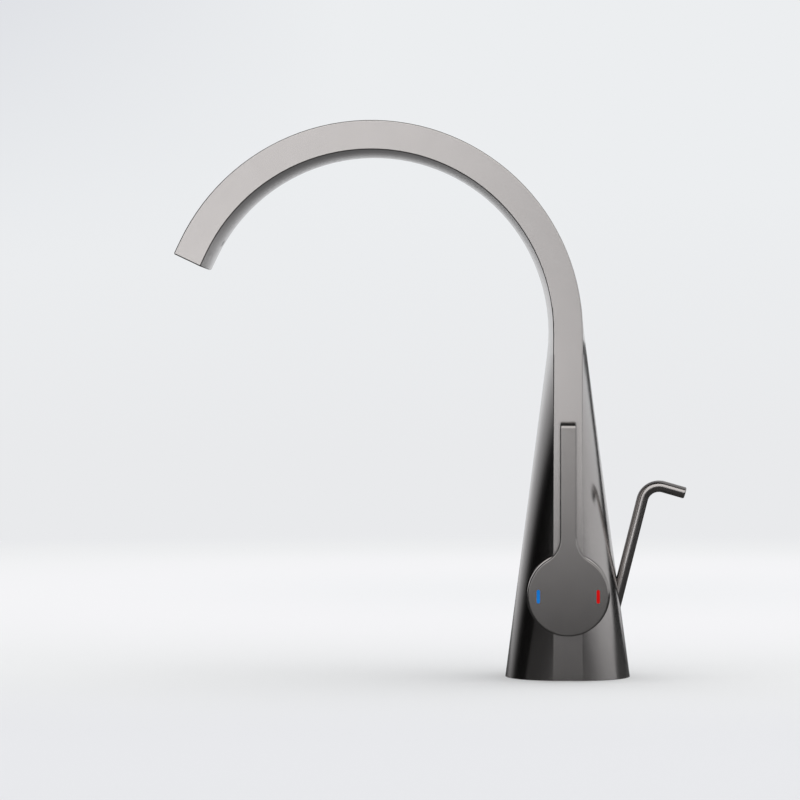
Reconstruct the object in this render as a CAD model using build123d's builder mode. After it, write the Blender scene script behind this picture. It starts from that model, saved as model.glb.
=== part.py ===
from build123d import *
import math
import os

os.makedirs("parts", exist_ok=True)

# Basin mixer with an arched band spout, a side lever and a lift rod, in millimetres.
# +Z is up and the origin is the centre of the round foot, on the deck. The spout
# reaches towards -X, the lever is on the -Y side and the lift rod is on the +X side.

# Body: a round foot that narrows upwards into a flat band, which arches over as the spout
BASE_DIAMETER = 54.0
BAND_THICKNESS = 12.6
ARCH_RADIUS = 84.4
ARCH_HEIGHT = 149.2
ARCH_SWEEP = 154.6
TIP_LENGTH = 6.0
UNDERSIDE_CROWN = 2.0
CREASE_RADIUS = 0.5
BODY_WALL = 4.5
SPOUT_WALL = 2.0
CEILING_THICKNESS = 6.0

# Waterway core inside the foot
CORE_BOTTOM = 12.0
CORE_HEIGHT = 50.0
CORE_GAP = 0.15
LUG_CLEARANCE = 0.3
INLET_THREAD_RADIUS = 4.5
INLET_THREAD_DEPTH = 10.0
INLET_SPACING = 12.4
INLET_BACK = 9.5
STUD_THREAD_RADIUS = 3.4
STUD_THREAD_DEPTH = 10.0
STUD_FRONT = 9.0
GALLERY_RADIUS = 2.6
GALLERY_END = 1.0
RISER_RADIUS = 3.0

# Core screws
CORE_SCREW_RADIUS = 2.0
CORE_SCREW_HEAD_RADIUS = 3.3
CORE_SCREW_HEAD_HEIGHT = 3.2
CORE_SCREW_GRIP = 4.5
CORE_SCREW_SPACING = 10.0
CORE_SCREW_EDGE = 0.9
SCREW_END_GAP = 0.5

# Base seal
SEAL_EDGE = 1.5
SEAL_WIDTH = 2.0
SEAL_HEIGHT = 1.8

# Ceramic cartridge, measured outwards along the lever's axis
LEVER_HEIGHT = 37.1
CARTRIDGE_DIAMETER = 25.0
CARTRIDGE_LENGTH = 20.0
CARTRIDGE_WALL = 1.6
SHOULDER_THICKNESS = 2.6
NECK_DIAMETER = 20.6
NECK_LENGTH = 8.4
NECK_WALL = 1.7
PIVOT_INSET = 6.25
PIVOT_ABOVE_SHOULDER = 3.0
SLIDING_GAP = 0.1
DISC_GAP = 0.05
PORT_SEAL_STANDOUT = 0.2
PORT_RADIUS = 2.4
PORT_SEAL_RADIUS = 3.2
PORT_SEAL_HEIGHT = 1.6
INLET_PORT_X = 5.0
INLET_PORT_DROP = 3.2
OUTLET_PORT_RISE = 5.4
CERAMIC_THICKNESS = 3.0
CARTRIDGE_BASE_THICKNESS = 3.4
MOVING_DISC_RADIUS = 7.9
MIXING_POCKET_LENGTH = 11.0
MIXING_POCKET_WIDTH = 5.0
DRIVER_PLATE_THICKNESS = 2.8
DRIVER_BLOCK_WIDTH = 8.0
BALL_ARM = 9.0
BALL_RADIUS = 2.75
BALL_GAP = 0.15
DRIVER_GRIP = 1.65
FINGER_RADIUS = 1.9
SPINDLE_WIDTH = 7.0
SPINDLE_TAIL = 3.5
SPINDLE_END_GAP = 0.2
PIN_RADIUS = 1.5
PIN_LENGTH = 16.0
PIN_GAP = 0.05

# Ring nut that clamps the cartridge, and the coned collar that hides it
NUT_RADIUS = 15.0
THREAD_GAP = 0.05
NUT_NECK_GAP = 0.3
NUT_INSET = 2.0
NUT_NOTCHES = 6
NUT_NOTCH_WIDTH = 3.0
NUT_NOTCH_DEPTH = 2.0
BOSS_WALL = 2.2
COLLAR_SKIRT_WALL = 1.8
COLLAR_RIM_INSET = 0.7
COLLAR_INNER_RADIUS = 11.0

# Lever
LEVER_DISC_RADIUS = 17.3
LEVER_THICKNESS = 4.0
LEVER_REACH = 73.7
LEVER_BAR_WIDTH = 6.9
LEVER_NECK_RADIUS = 11.2
LEVER_EDGE = 0.85
LEVER_TIP_RADIUS = 2.8
LEVER_HUB_WALL = 1.45
LEVER_HUB_LENGTH = 3.6
LEVER_SOCKET_DEPTH = 2.0
LEVER_SOCKET_GAP = 0.05
LEVER_GRUB_RADIUS = 1.25
TILT_RANGE = 20.0
TILT_CLEARANCE = 0.4

# Temperature marks, enamel in shallow recesses of the lever's disc
MARK_WIDTH = 1.7
MARK_HEIGHT = 6.2
MARK_DEPTH = 0.3
MARK_EDGE = 4.2

# Outlet nozzle and what belongs to it
NOZZLE_LENGTH = 17.0
NOZZLE_SIDE_GAP = 0.1
NOZZLE_END_GAP = 0.2
NOZZLE_INWARD_SHIFT = 0.4
NOZZLE_CORNER = 2.4
FLANGE_LIP = 1.0
FLANGE_THICKNESS = 1.0
OUTLET_SEAL_THICKNESS = 0.8
SLOT_WIDTH = 40.0
SLOT_HEIGHT = 3.4
SLOT_DEPTH = 12.0
SCREEN_LIP = 0.8
SCREEN_THICKNESS = 0.8
SCREEN_INSET = 1.2
SCREEN_HOLE = 1.3
SCREEN_HOLE_PITCH = 2.6
SCREEN_COLUMNS = 15
NOZZLE_GRUB_SETBACK = 13.0
NOZZLE_GRUB_RADIUS = 1.5
NOZZLE_GRUB_LENGTH = 3.2
NOZZLE_DIMPLE = 0.3
NOZZLE_ENTRY_ANGLE = 0.6

# Inner hose and its fittings
HOSE_GAP = 0.5
HOSE_END_GAP = 0.3
HOSE_WALL = 1.0
SPIGOT_LENGTH = 7.0
SPIGOT_ROOT = 2.0
SPIGOT_WALL = 0.8
FIT_GAP = 0.02
FERRULE_WALL = 0.25
FERRULE_LENGTH = 5.0
NIPPLE_THREAD_RADIUS = 4.0
NIPPLE_THREAD_LENGTH = 6.0
NIPPLE_HEX_RADIUS = 6.3
NIPPLE_HEX_HEIGHT = 2.4
NIPPLE_HOLE_GAP = 0.6
NIPPLE_SPIGOT = 9.0

# Lift rod, which leans away from the body and slides along its own axis
ROD_DIAMETER = 5.0
ROD_INSET = 14.2
ROD_LEAN = 14.25
ROD_START = 1.0
ROD_CORNER_HEIGHT = 84.4
ROD_BEND_RADIUS = 7.4
ROD_END_DROOP = 16.0
ROD_END_REACH = 17.4
ROD_TIP_ROUND = 0.6
ROD_THREAD_RADIUS = 2.0
ROD_THREAD_LENGTH = 5.0
ROD_HOLE_GAP = 0.15
ROD_RUNNING_GAP = 0.05
BUSH_WALL = 1.45
BUSH_LENGTH = 9.0
ROD_SEAL_THICKNESS = 1.6
LUG_WALL = 1.0
LUG_BOTTOM = 12.5
LUG_TOP = 40.0

# Small edge breaks and drive sockets
EDGE_BREAK = 0.3
HEX_SOCKET_RATIO = 0.5
SOCKET_DEPTH = 1.6

# How close two places must be to count as the same one
SAME_PLACE = 0.01

base_radius = BASE_DIAMETER / 2
half_band = BAND_THICKNESS / 2
half_depth = math.sqrt(base_radius ** 2 - half_band ** 2)
arch_x = -ARCH_RADIUS
band_inner = ARCH_RADIUS - half_band
band_outer = ARCH_RADIUS + half_band
crown_radius = band_inner - UNDERSIDE_CROWN


def tangent_angle(start_x, radius):
    """Angle on the arch, in degrees, where a line from (start_x, 0) touches a circle."""
    reach = math.hypot(start_x - arch_x, ARCH_HEIGHT)
    towards_start = math.atan2(-ARCH_HEIGHT, start_x - arch_x)
    return math.degrees(towards_start + math.acos(radius / reach))


def arch_point(radius, angle):
    """Point (x, z) on a circle about the arch's axis."""
    turn = math.radians(angle)
    return arch_x + radius * math.cos(turn), ARCH_HEIGHT + radius * math.sin(turn)


front_touch = tangent_angle(-base_radius, crown_radius)
rear_touch = tangent_angle(base_radius, band_outer)
front_touch_x, knee_height = arch_point(crown_radius, front_touch)
rear_touch_x, rear_touch_height = arch_point(band_outer, rear_touch)


def front_at(height):
    """Where the foot's front line is, in X, at a height."""
    return -base_radius + (front_touch_x + base_radius) * height / knee_height


def rear_at(height):
    """Where the foot's rear line is, in X, at a height."""
    return base_radius + (rear_touch_x - base_radius) * height / rear_touch_height


def leg_plane(height):
    """Level plane whose local x is the distance from the arch's axis."""
    return Plane(origin=(arch_x, 0, height), x_dir=(1, 0, 0), z_dir=(0, 0, 1))


def arch_plane(angle):
    """Plane across the band at an angle of the arch, facing along the spout."""
    turn = math.radians(angle)
    return Plane(
        origin=(arch_x, 0, ARCH_HEIGHT),
        x_dir=(math.cos(turn), 0, math.sin(turn)),
        z_dir=(-math.sin(turn), 0, math.cos(turn)),
    )


def band_face(plane, inner, outer, inner_middle, outer_middle, depth, corner=0.0):
    """Band section: two flat sides, and two edges that bulge at mid depth."""
    with BuildSketch(plane) as section:
        with BuildLine():
            Line((inner, -depth), (outer, -depth))
            if outer_middle > outer:
                ThreePointArc((outer, -depth), (outer_middle, 0), (outer, depth))
            else:
                Line((outer, -depth), (outer, depth))
            Line((outer, depth), (inner, depth))
            ThreePointArc((inner, depth), (inner_middle, 0), (inner, -depth))
        make_face()
        if corner:
            fillet(section.vertices(), corner)
    return section.sketch.face()


def outer_face(plane, front, rear):
    """Outer section of the body, its four creases rounded."""
    return band_face(plane, band_inner, band_outer, front, rear, half_depth, CREASE_RADIUS)


def leg_face(height):
    """Outer section of the foot at a height up to the knee."""
    front = front_at(height) - arch_x
    rear = rear_at(height) - arch_x
    return outer_face(leg_plane(height), front, rear)


def chamber_face(height, wall):
    """Section of the foot's inside, a wall's thickness within the outer section."""
    depth = half_depth - wall
    foot_edge = math.sqrt((base_radius - wall) ** 2 - depth ** 2)
    edge = foot_edge + (half_band - wall - foot_edge) * height / knee_height
    front = front_at(height) + wall - arch_x
    rear = rear_at(height) - wall - arch_x
    return band_face(leg_plane(height), -edge - arch_x, edge - arch_x, front, rear, depth)


def knee_faces():
    """Outer sections from the top of the straight foot round to the plain arch."""
    faces = []
    for share in (0.0, 0.5, 1.0):
        height = knee_height + (ARCH_HEIGHT - knee_height) * share
        front = math.sqrt(crown_radius ** 2 - (ARCH_HEIGHT - height) ** 2)
        rear = rear_at(height) - arch_x
        faces.append(outer_face(leg_plane(height), front, rear))
    for share in (0.5, 1.0):
        angle = rear_touch * share
        rear = band_outer / math.cos(math.radians(rear_touch - angle))
        if share == 1.0:
            rear = band_outer
        faces.append(outer_face(arch_plane(angle), crown_radius, rear))
    return faces


arch_axis = Axis((arch_x, 0, ARCH_HEIGHT), (0, -1, 0))
tip_plane = arch_plane(ARCH_SWEEP).offset(TIP_LENGTH)
outlet_plane = Plane(
    origin=tip_plane.from_local_coords((ARCH_RADIUS - NOZZLE_INWARD_SHIFT, 0, 0)),
    x_dir=tip_plane.x_dir,
    z_dir=tip_plane.z_dir,
)

# Inner channel of the spout
channel_inner = band_inner + SPOUT_WALL
channel_outer = band_outer - SPOUT_WALL
channel_depth = half_depth - SPOUT_WALL
channel_height = channel_outer - channel_inner
nozzle_width = 2 * channel_depth - 2 * NOZZLE_SIDE_GAP
nozzle_height = channel_height - 2 * NOZZLE_INWARD_SHIFT
grub_plane = Plane(
    origin=outlet_plane.from_local_coords((-nozzle_height / 2, 0, -NOZZLE_GRUB_SETBACK)),
    z_dir=-outlet_plane.x_dir,
)
nozzle_back_angle = ARCH_SWEEP - math.degrees((NOZZLE_LENGTH - TIP_LENGTH) / ARCH_RADIUS)
spigot_angle = nozzle_back_angle - math.degrees(SPIGOT_LENGTH / ARCH_RADIUS)

# Levels and places inside the foot
seal_outer = base_radius - SEAL_EDGE
core_screw_back = half_depth - BODY_WALL - CORE_GAP - CORE_SCREW_EDGE - CORE_SCREW_HEAD_RADIUS
core_screw_places = (
    (-CORE_SCREW_SPACING / 2, core_screw_back),
    (CORE_SCREW_SPACING / 2, core_screw_back),
)
inlet_places = (
    (-INLET_SPACING / 2, INLET_BACK),
    (INLET_SPACING / 2, INLET_BACK),
)
core_top = CORE_BOTTOM + CORE_HEIGHT
ceiling_bottom = core_top + CORE_GAP
ceiling_top = ceiling_bottom + CEILING_THICKNESS

# Places along the lever's axis, as distances out from the middle of the body
valve_plane = Plane(origin=(0, 0, LEVER_HEIGHT), x_dir=(1, 0, 0), z_dir=(0, -1, 0))
pivot_out = half_depth - PIVOT_INSET
shoulder_out = pivot_out - PIVOT_ABOVE_SHOULDER
cartridge_back = shoulder_out - CARTRIDGE_LENGTH
seat_out = cartridge_back - PORT_SEAL_STANDOUT
neck_end = shoulder_out + NECK_LENGTH
cartridge_radius = CARTRIDGE_DIAMETER / 2
cartridge_bore = cartridge_radius - CARTRIDGE_WALL
neck_radius = NECK_DIAMETER / 2
neck_bore = neck_radius - NECK_WALL
boss_radius = NUT_RADIUS + BOSS_WALL
tilt = math.radians(TILT_RANGE)
lever_drop = PIVOT_INSET + TILT_CLEARANCE + LEVER_DISC_RADIUS * math.sin(tilt)
lever_back = pivot_out + lever_drop / math.cos(tilt)
lever_front = lever_back + LEVER_THICKNESS
ports = (
    (-INLET_PORT_X, -INLET_PORT_DROP),
    (INLET_PORT_X, -INLET_PORT_DROP),
    (0.0, OUTLET_PORT_RISE),
)

# Lift rod's own frame
rod_radius = ROD_DIAMETER / 2
rod_foot_x = base_radius - ROD_INSET
lean = math.radians(ROD_LEAN)
rod_plane = Plane(
    origin=(rod_foot_x, 0, 0),
    x_dir=(math.cos(lean), 0, -math.sin(lean)),
    z_dir=(math.sin(lean), 0, math.cos(lean)),
)


def rod_plane_at(height):
    """Plane across the rod where its axis is at a height."""
    return rod_plane.offset(height / math.cos(lean))


bush_outer = rod_radius + ROD_RUNNING_GAP + BUSH_WALL
lug_radius = bush_outer + LUG_WALL

# Outer form of the body, solid: foot, knee, arch, straight tip and the lever's boss
with BuildPart() as outer_form:
    loft(sections=[leg_face(0), leg_face(knee_height)], ruled=True)
    loft(sections=knee_faces())
    arch_start = outer_face(arch_plane(rear_touch), crown_radius, band_outer)
    revolve(profiles=arch_start, axis=arch_axis, revolution_arc=ARCH_SWEEP - rear_touch)
    arch_end = outer_face(arch_plane(ARCH_SWEEP), crown_radius, band_outer)
    extrude(to_extrude=arch_end, amount=TIP_LENGTH)
    with BuildSketch(valve_plane):
        Circle(boss_radius)
    extrude(amount=half_depth)

# Lug on the foot's inner rear wall that carries the rod's bush
with BuildPart() as rod_lug:
    with BuildSketch(rod_plane_at(LUG_BOTTOM)):
        Circle(lug_radius)
    extrude(amount=(LUG_TOP - LUG_BOTTOM) / math.cos(lean))
    add(outer_form.part, mode=Mode.INTERSECT)

# Body, one hollow casting
with BuildPart() as body_shell:
    add(outer_form.part)
    loft(
        sections=[chamber_face(0, BODY_WALL), chamber_face(ceiling_bottom, BODY_WALL)],
        ruled=True,
        mode=Mode.SUBTRACT,
    )
    knee_channel = band_face(
        leg_plane(knee_height),
        channel_inner,
        channel_outer,
        channel_inner - UNDERSIDE_CROWN,
        channel_outer,
        channel_depth,
    )
    loft(
        sections=[chamber_face(ceiling_top, BODY_WALL), knee_channel],
        ruled=True,
        mode=Mode.SUBTRACT,
    )
    extrude(to_extrude=knee_channel, amount=ARCH_HEIGHT - knee_height, mode=Mode.SUBTRACT)
    arch_channel = band_face(
        arch_plane(0),
        channel_inner,
        channel_outer,
        channel_inner - UNDERSIDE_CROWN,
        channel_outer,
        channel_depth,
    )
    revolve(
        profiles=arch_channel,
        axis=arch_axis,
        revolution_arc=nozzle_back_angle + NOZZLE_ENTRY_ANGLE,
        mode=Mode.SUBTRACT,
    )
    add(rod_lug.part)
    with BuildSketch(Plane.XY.offset(core_top)):
        Circle(NIPPLE_HEX_RADIUS + NIPPLE_HOLE_GAP)
    extrude(amount=ceiling_top + BODY_WALL - core_top, mode=Mode.SUBTRACT)
    with BuildSketch(Plane.XY.offset(core_top)):
        with Locations(*core_screw_places):
            Circle(CORE_SCREW_RADIUS)
    extrude(amount=CORE_GAP + CORE_SCREW_GRIP + SCREW_END_GAP, mode=Mode.SUBTRACT)
    with BuildSketch(valve_plane.offset(shoulder_out)):
        Circle(NUT_RADIUS + THREAD_GAP)
    extrude(amount=half_depth - shoulder_out, mode=Mode.SUBTRACT)
    with BuildSketch(valve_plane):
        Circle(cartridge_radius + SLIDING_GAP)
    extrude(amount=shoulder_out, mode=Mode.SUBTRACT)
    with BuildSketch(rod_plane):
        Circle(rod_radius + ROD_HOLE_GAP)
    extrude(amount=core_top, mode=Mode.SUBTRACT)
    with BuildSketch(rod_plane_at(LUG_BOTTOM)):
        Circle(bush_outer)
    extrude(amount=BUSH_LENGTH + ROD_SEAL_THICKNESS, mode=Mode.SUBTRACT)
    with BuildSketch(Plane.XY):
        Circle(seal_outer)
        Circle(seal_outer - SEAL_WIDTH, mode=Mode.SUBTRACT)
    extrude(amount=SEAL_HEIGHT, mode=Mode.SUBTRACT)
    with BuildSketch(outlet_plane):
        RectangleRounded(
            nozzle_height + 2 * NOZZLE_SIDE_GAP,
            nozzle_width + 2 * NOZZLE_SIDE_GAP,
            NOZZLE_CORNER + NOZZLE_SIDE_GAP,
        )
    extrude(amount=-NOZZLE_LENGTH - NOZZLE_END_GAP, mode=Mode.SUBTRACT)
    with BuildSketch(outlet_plane):
        RectangleRounded(
            nozzle_height + 2 * FLANGE_LIP + 2 * NOZZLE_SIDE_GAP,
            nozzle_width + 2 * FLANGE_LIP + 2 * NOZZLE_SIDE_GAP,
            NOZZLE_CORNER + FLANGE_LIP + NOZZLE_SIDE_GAP,
        )
    extrude(amount=-FLANGE_THICKNESS - OUTLET_SEAL_THICKNESS, mode=Mode.SUBTRACT)
    with BuildSketch(grub_plane):
        Circle(NOZZLE_GRUB_RADIUS)
    extrude(amount=BAND_THICKNESS, mode=Mode.SUBTRACT)
body_shell.part.label = "body_shell"
export_step(body_shell.part, "parts/body_shell.step")

# Waterway core: inlet ports and stud hole below, valve seat at the side, hose port on top
with BuildPart() as waterway_core:
    loft(
        sections=[
            chamber_face(CORE_BOTTOM, BODY_WALL + CORE_GAP),
            chamber_face(core_top, BODY_WALL + CORE_GAP),
        ],
        ruled=True,
    )
    with BuildSketch(valve_plane.offset(seat_out)):
        Circle(cartridge_radius + SLIDING_GAP)
    extrude(amount=half_depth, mode=Mode.SUBTRACT)
    with BuildSketch(valve_plane.offset(shoulder_out - CORE_GAP)):
        Circle(NUT_RADIUS + CORE_GAP)
    extrude(amount=half_depth, mode=Mode.SUBTRACT)
    with BuildSketch(rod_plane):
        Circle(lug_radius + LUG_CLEARANCE)
    extrude(amount=core_top / math.cos(lean) + lug_radius, mode=Mode.SUBTRACT)
    with BuildSketch(Plane.XY.offset(CORE_BOTTOM)):
        with Locations(*inlet_places):
            Circle(INLET_THREAD_RADIUS)
    extrude(amount=INLET_THREAD_DEPTH, mode=Mode.SUBTRACT)
    with BuildSketch(Plane.XY.offset(CORE_BOTTOM)):
        with Locations(*inlet_places):
            Circle(RISER_RADIUS)
    extrude(
        amount=LEVER_HEIGHT - INLET_PORT_DROP + RISER_RADIUS - CORE_BOTTOM,
        mode=Mode.SUBTRACT,
    )
    with BuildSketch(Plane.XY.offset(CORE_BOTTOM)):
        with Locations((0, -STUD_FRONT)):
            Circle(STUD_THREAD_RADIUS)
    extrude(amount=STUD_THREAD_DEPTH, mode=Mode.SUBTRACT)
    with BuildSketch(Plane.XY.offset(CORE_BOTTOM)):
        with Locations(*core_screw_places):
            Circle(CORE_SCREW_RADIUS + CORE_GAP)
    extrude(amount=CORE_HEIGHT, mode=Mode.SUBTRACT)
    with BuildSketch(valve_plane.offset(seat_out)):
        with Locations(*ports[:2]):
            Circle(GALLERY_RADIUS)
    extrude(amount=-(INLET_BACK + seat_out), mode=Mode.SUBTRACT)
    outlet_bend_back = INLET_BACK + GALLERY_RADIUS + GALLERY_END
    with BuildSketch(valve_plane.offset(seat_out)):
        with Locations(ports[2]):
            Circle(GALLERY_RADIUS)
    extrude(amount=-(outlet_bend_back + seat_out), mode=Mode.SUBTRACT)
    bend = Vector(0, outlet_bend_back, LEVER_HEIGHT + OUTLET_PORT_RISE)
    hose_port = Vector(0, 0, core_top)
    with BuildSketch(Plane(origin=bend, z_dir=hose_port - bend)):
        Circle(GALLERY_RADIUS)
    extrude(amount=(hose_port - bend).length, mode=Mode.SUBTRACT)
    with BuildSketch(Plane.XY.offset(core_top)):
        Circle(NIPPLE_THREAD_RADIUS)
    extrude(amount=-NIPPLE_THREAD_LENGTH, mode=Mode.SUBTRACT)
waterway_core.part.label = "waterway_core"
export_step(waterway_core.part, "parts/waterway_core.step")

# Two long screws that draw the core up into the body
with BuildPart() as core_screws:
    with BuildSketch(Plane.XY.offset(CORE_BOTTOM)):
        with Locations(*core_screw_places):
            Circle(CORE_SCREW_HEAD_RADIUS)
    extrude(amount=-CORE_SCREW_HEAD_HEIGHT)
    with BuildSketch(Plane.XY.offset(CORE_BOTTOM)):
        with Locations(*core_screw_places):
            Circle(CORE_SCREW_RADIUS - FIT_GAP)
    extrude(amount=CORE_HEIGHT + CORE_GAP + CORE_SCREW_GRIP)
    with BuildSketch(Plane.XY.offset(CORE_BOTTOM - CORE_SCREW_HEAD_HEIGHT)):
        with Locations(*core_screw_places):
            RegularPolygon(CORE_SCREW_HEAD_RADIUS * HEX_SOCKET_RATIO, 6)
    extrude(amount=SOCKET_DEPTH, mode=Mode.SUBTRACT)
core_screws.part.label = "core_screws"
export_step(core_screws.part, "parts/core_screws.step")

# Ring between the foot and the deck
with BuildPart() as base_seal:
    with BuildSketch(Plane.XY):
        Circle(seal_outer - FIT_GAP)
        Circle(seal_outer - SEAL_WIDTH + FIT_GAP, mode=Mode.SUBTRACT)
    extrude(amount=SEAL_HEIGHT)
base_seal.part.label = "base_seal"
export_step(base_seal.part, "parts/base_seal.step")

# Cartridge housing, a stepped sleeve that is open at both ends
with BuildPart() as cartridge_housing:
    with BuildSketch(valve_plane.offset(cartridge_back)):
        Circle(cartridge_radius)
    extrude(amount=CARTRIDGE_LENGTH)
    with BuildSketch(valve_plane.offset(shoulder_out)):
        Circle(neck_radius)
    extrude(amount=NECK_LENGTH)
    with BuildSketch(valve_plane.offset(cartridge_back)):
        Circle(cartridge_bore)
    extrude(amount=CARTRIDGE_LENGTH - SHOULDER_THICKNESS, mode=Mode.SUBTRACT)
    with BuildSketch(valve_plane.offset(cartridge_back)):
        Circle(neck_bore)
    extrude(amount=CARTRIDGE_LENGTH + NECK_LENGTH, mode=Mode.SUBTRACT)
cartridge_housing.part.label = "cartridge_housing"
export_step(cartridge_housing.part, "parts/cartridge_housing.step")

# Bottom cap of the cartridge, with three ports and a seal seat round each
with BuildPart() as cartridge_base:
    with BuildSketch(valve_plane.offset(cartridge_back)):
        Circle(cartridge_bore - FIT_GAP)
        with Locations(*ports):
            Circle(PORT_RADIUS, mode=Mode.SUBTRACT)
    extrude(amount=CARTRIDGE_BASE_THICKNESS)
    with BuildSketch(valve_plane.offset(cartridge_back)):
        with Locations(*ports):
            Circle(PORT_SEAL_RADIUS)
    extrude(amount=PORT_SEAL_HEIGHT - PORT_SEAL_STANDOUT, mode=Mode.SUBTRACT)
cartridge_base.part.label = "cartridge_base"
export_step(cartridge_base.part, "parts/cartridge_base.step")

# Rubber rings round the three ports
with BuildPart() as cartridge_port_seals:
    with BuildSketch(valve_plane.offset(seat_out)):
        with Locations(*ports):
            Circle(PORT_SEAL_RADIUS - FIT_GAP)
        with Locations(*ports):
            Circle(PORT_RADIUS, mode=Mode.SUBTRACT)
    extrude(amount=PORT_SEAL_HEIGHT)
cartridge_port_seals.part.label = "cartridge_port_seals"
export_step(cartridge_port_seals.part, "parts/cartridge_port_seals.step")

# Fixed ceramic disc, which stays with the bottom cap
fixed_disc_out = cartridge_back + CARTRIDGE_BASE_THICKNESS
with BuildPart() as fixed_ceramic_disc:
    with BuildSketch(valve_plane.offset(fixed_disc_out)):
        Circle(cartridge_bore - FIT_GAP)
        with Locations(*ports):
            Circle(PORT_RADIUS, mode=Mode.SUBTRACT)
    extrude(amount=CERAMIC_THICKNESS)
fixed_ceramic_disc.part.label = "fixed_ceramic_disc"
export_step(fixed_ceramic_disc.part, "parts/fixed_ceramic_disc.step")

# Moving ceramic disc: closed at rest, it slides upwards as the lever tilts
disc_travel = BALL_ARM * tilt
disc_start = -disc_travel / 2
moving_disc_out = fixed_disc_out + CERAMIC_THICKNESS + DISC_GAP
with BuildPart() as moving_ceramic_disc:
    with BuildSketch(valve_plane.offset(moving_disc_out)):
        with Locations((0, disc_start)):
            Circle(MOVING_DISC_RADIUS)
    extrude(amount=CERAMIC_THICKNESS)
    with BuildSketch(valve_plane.offset(moving_disc_out)):
        with Locations((0, disc_start)):
            SlotOverall(MIXING_POCKET_LENGTH, MIXING_POCKET_WIDTH)
    extrude(amount=CERAMIC_THICKNESS / 2, mode=Mode.SUBTRACT)
moving_ceramic_disc.part.label = "moving_ceramic_disc"
export_step(moving_ceramic_disc.part, "parts/moving_ceramic_disc.step")

# Slider that joins the moving disc to the spindle's ball
driver_out = moving_disc_out + CERAMIC_THICKNESS
ball_out = pivot_out - BALL_ARM
driver_end = ball_out + DRIVER_GRIP
socket_floor = ball_out - BALL_RADIUS - BALL_GAP
with BuildPart() as disc_driver:
    with BuildSketch(valve_plane.offset(driver_out)):
        with Locations((0, disc_start)):
            Circle(MOVING_DISC_RADIUS)
    extrude(amount=DRIVER_PLATE_THICKNESS)
    with BuildSketch(valve_plane.offset(driver_out)):
        Rectangle(DRIVER_BLOCK_WIDTH, DRIVER_BLOCK_WIDTH)
    extrude(amount=driver_end - driver_out)
    with BuildSketch(valve_plane.offset(socket_floor)):
        Circle(BALL_RADIUS + BALL_GAP)
    extrude(amount=driver_end - socket_floor, mode=Mode.SUBTRACT)
disc_driver.part.label = "disc_driver"
export_step(disc_driver.part, "parts/disc_driver.step")

# Spindle carrier: turns in the housing, and the spindle tilts in its slot
carrier_flange_out = driver_out + DRIVER_PLATE_THICKNESS + SLIDING_GAP * 2
carrier_shoulder = shoulder_out - SHOULDER_THICKNESS - SLIDING_GAP
slot_half = SPINDLE_WIDTH / 2 + SLIDING_GAP
swing_radius = math.hypot(SPINDLE_WIDTH / 2, SPINDLE_TAIL) + SLIDING_GAP
front_drop = (
    (neck_end - pivot_out) * math.tan(tilt) + SPINDLE_WIDTH / 2 / math.cos(tilt) + SLIDING_GAP
)
slot_drop = max(swing_radius, front_drop)
with BuildPart() as spindle_carrier:
    with BuildSketch(valve_plane.offset(carrier_flange_out)):
        Circle(cartridge_bore - SLIDING_GAP)
    extrude(amount=carrier_shoulder - carrier_flange_out)
    with BuildSketch(valve_plane.offset(carrier_shoulder)):
        Circle(neck_bore - SLIDING_GAP)
    extrude(amount=neck_end - carrier_shoulder)
    with BuildSketch(valve_plane.offset(pivot_out - swing_radius)):
        with Locations((0, (swing_radius - slot_drop) / 2)):
            Rectangle(2 * slot_half, swing_radius + slot_drop)
    extrude(amount=half_depth, mode=Mode.SUBTRACT)
    with BuildSketch(valve_plane.offset(carrier_flange_out)):
        with Locations((0, disc_travel / 2)):
            Rectangle(
                DRIVER_BLOCK_WIDTH + 2 * SLIDING_GAP,
                DRIVER_BLOCK_WIDTH + 2 * SLIDING_GAP + disc_travel,
            )
    extrude(amount=driver_end + SLIDING_GAP * 2 - carrier_flange_out, mode=Mode.SUBTRACT)
    with BuildSketch(valve_plane.offset(driver_end)):
        with Locations((0, disc_travel / 2)):
            Rectangle(
                2 * BALL_RADIUS + 2 * SLIDING_GAP,
                2 * BALL_RADIUS + 2 * SLIDING_GAP + disc_travel,
            )
    extrude(amount=pivot_out - driver_end, mode=Mode.SUBTRACT)
    with BuildSketch(Plane.YZ.offset(-PIN_LENGTH / 2)):
        with Locations((-pivot_out, LEVER_HEIGHT)):
            Circle(PIN_RADIUS)
    extrude(amount=PIN_LENGTH, mode=Mode.SUBTRACT)
spindle_carrier.part.label = "spindle_carrier"
export_step(spindle_carrier.part, "parts/spindle_carrier.step")

# Pin on which the spindle tilts, held in the carrier
with BuildPart() as spindle_pivot_pin:
    with BuildSketch(Plane.YZ.offset(-PIN_LENGTH / 2)):
        with Locations((-pivot_out, LEVER_HEIGHT)):
            Circle(PIN_RADIUS)
    extrude(amount=PIN_LENGTH)
spindle_pivot_pin.part.label = "spindle_pivot_pin"
export_step(spindle_pivot_pin.part, "parts/spindle_pivot_pin.step")

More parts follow.
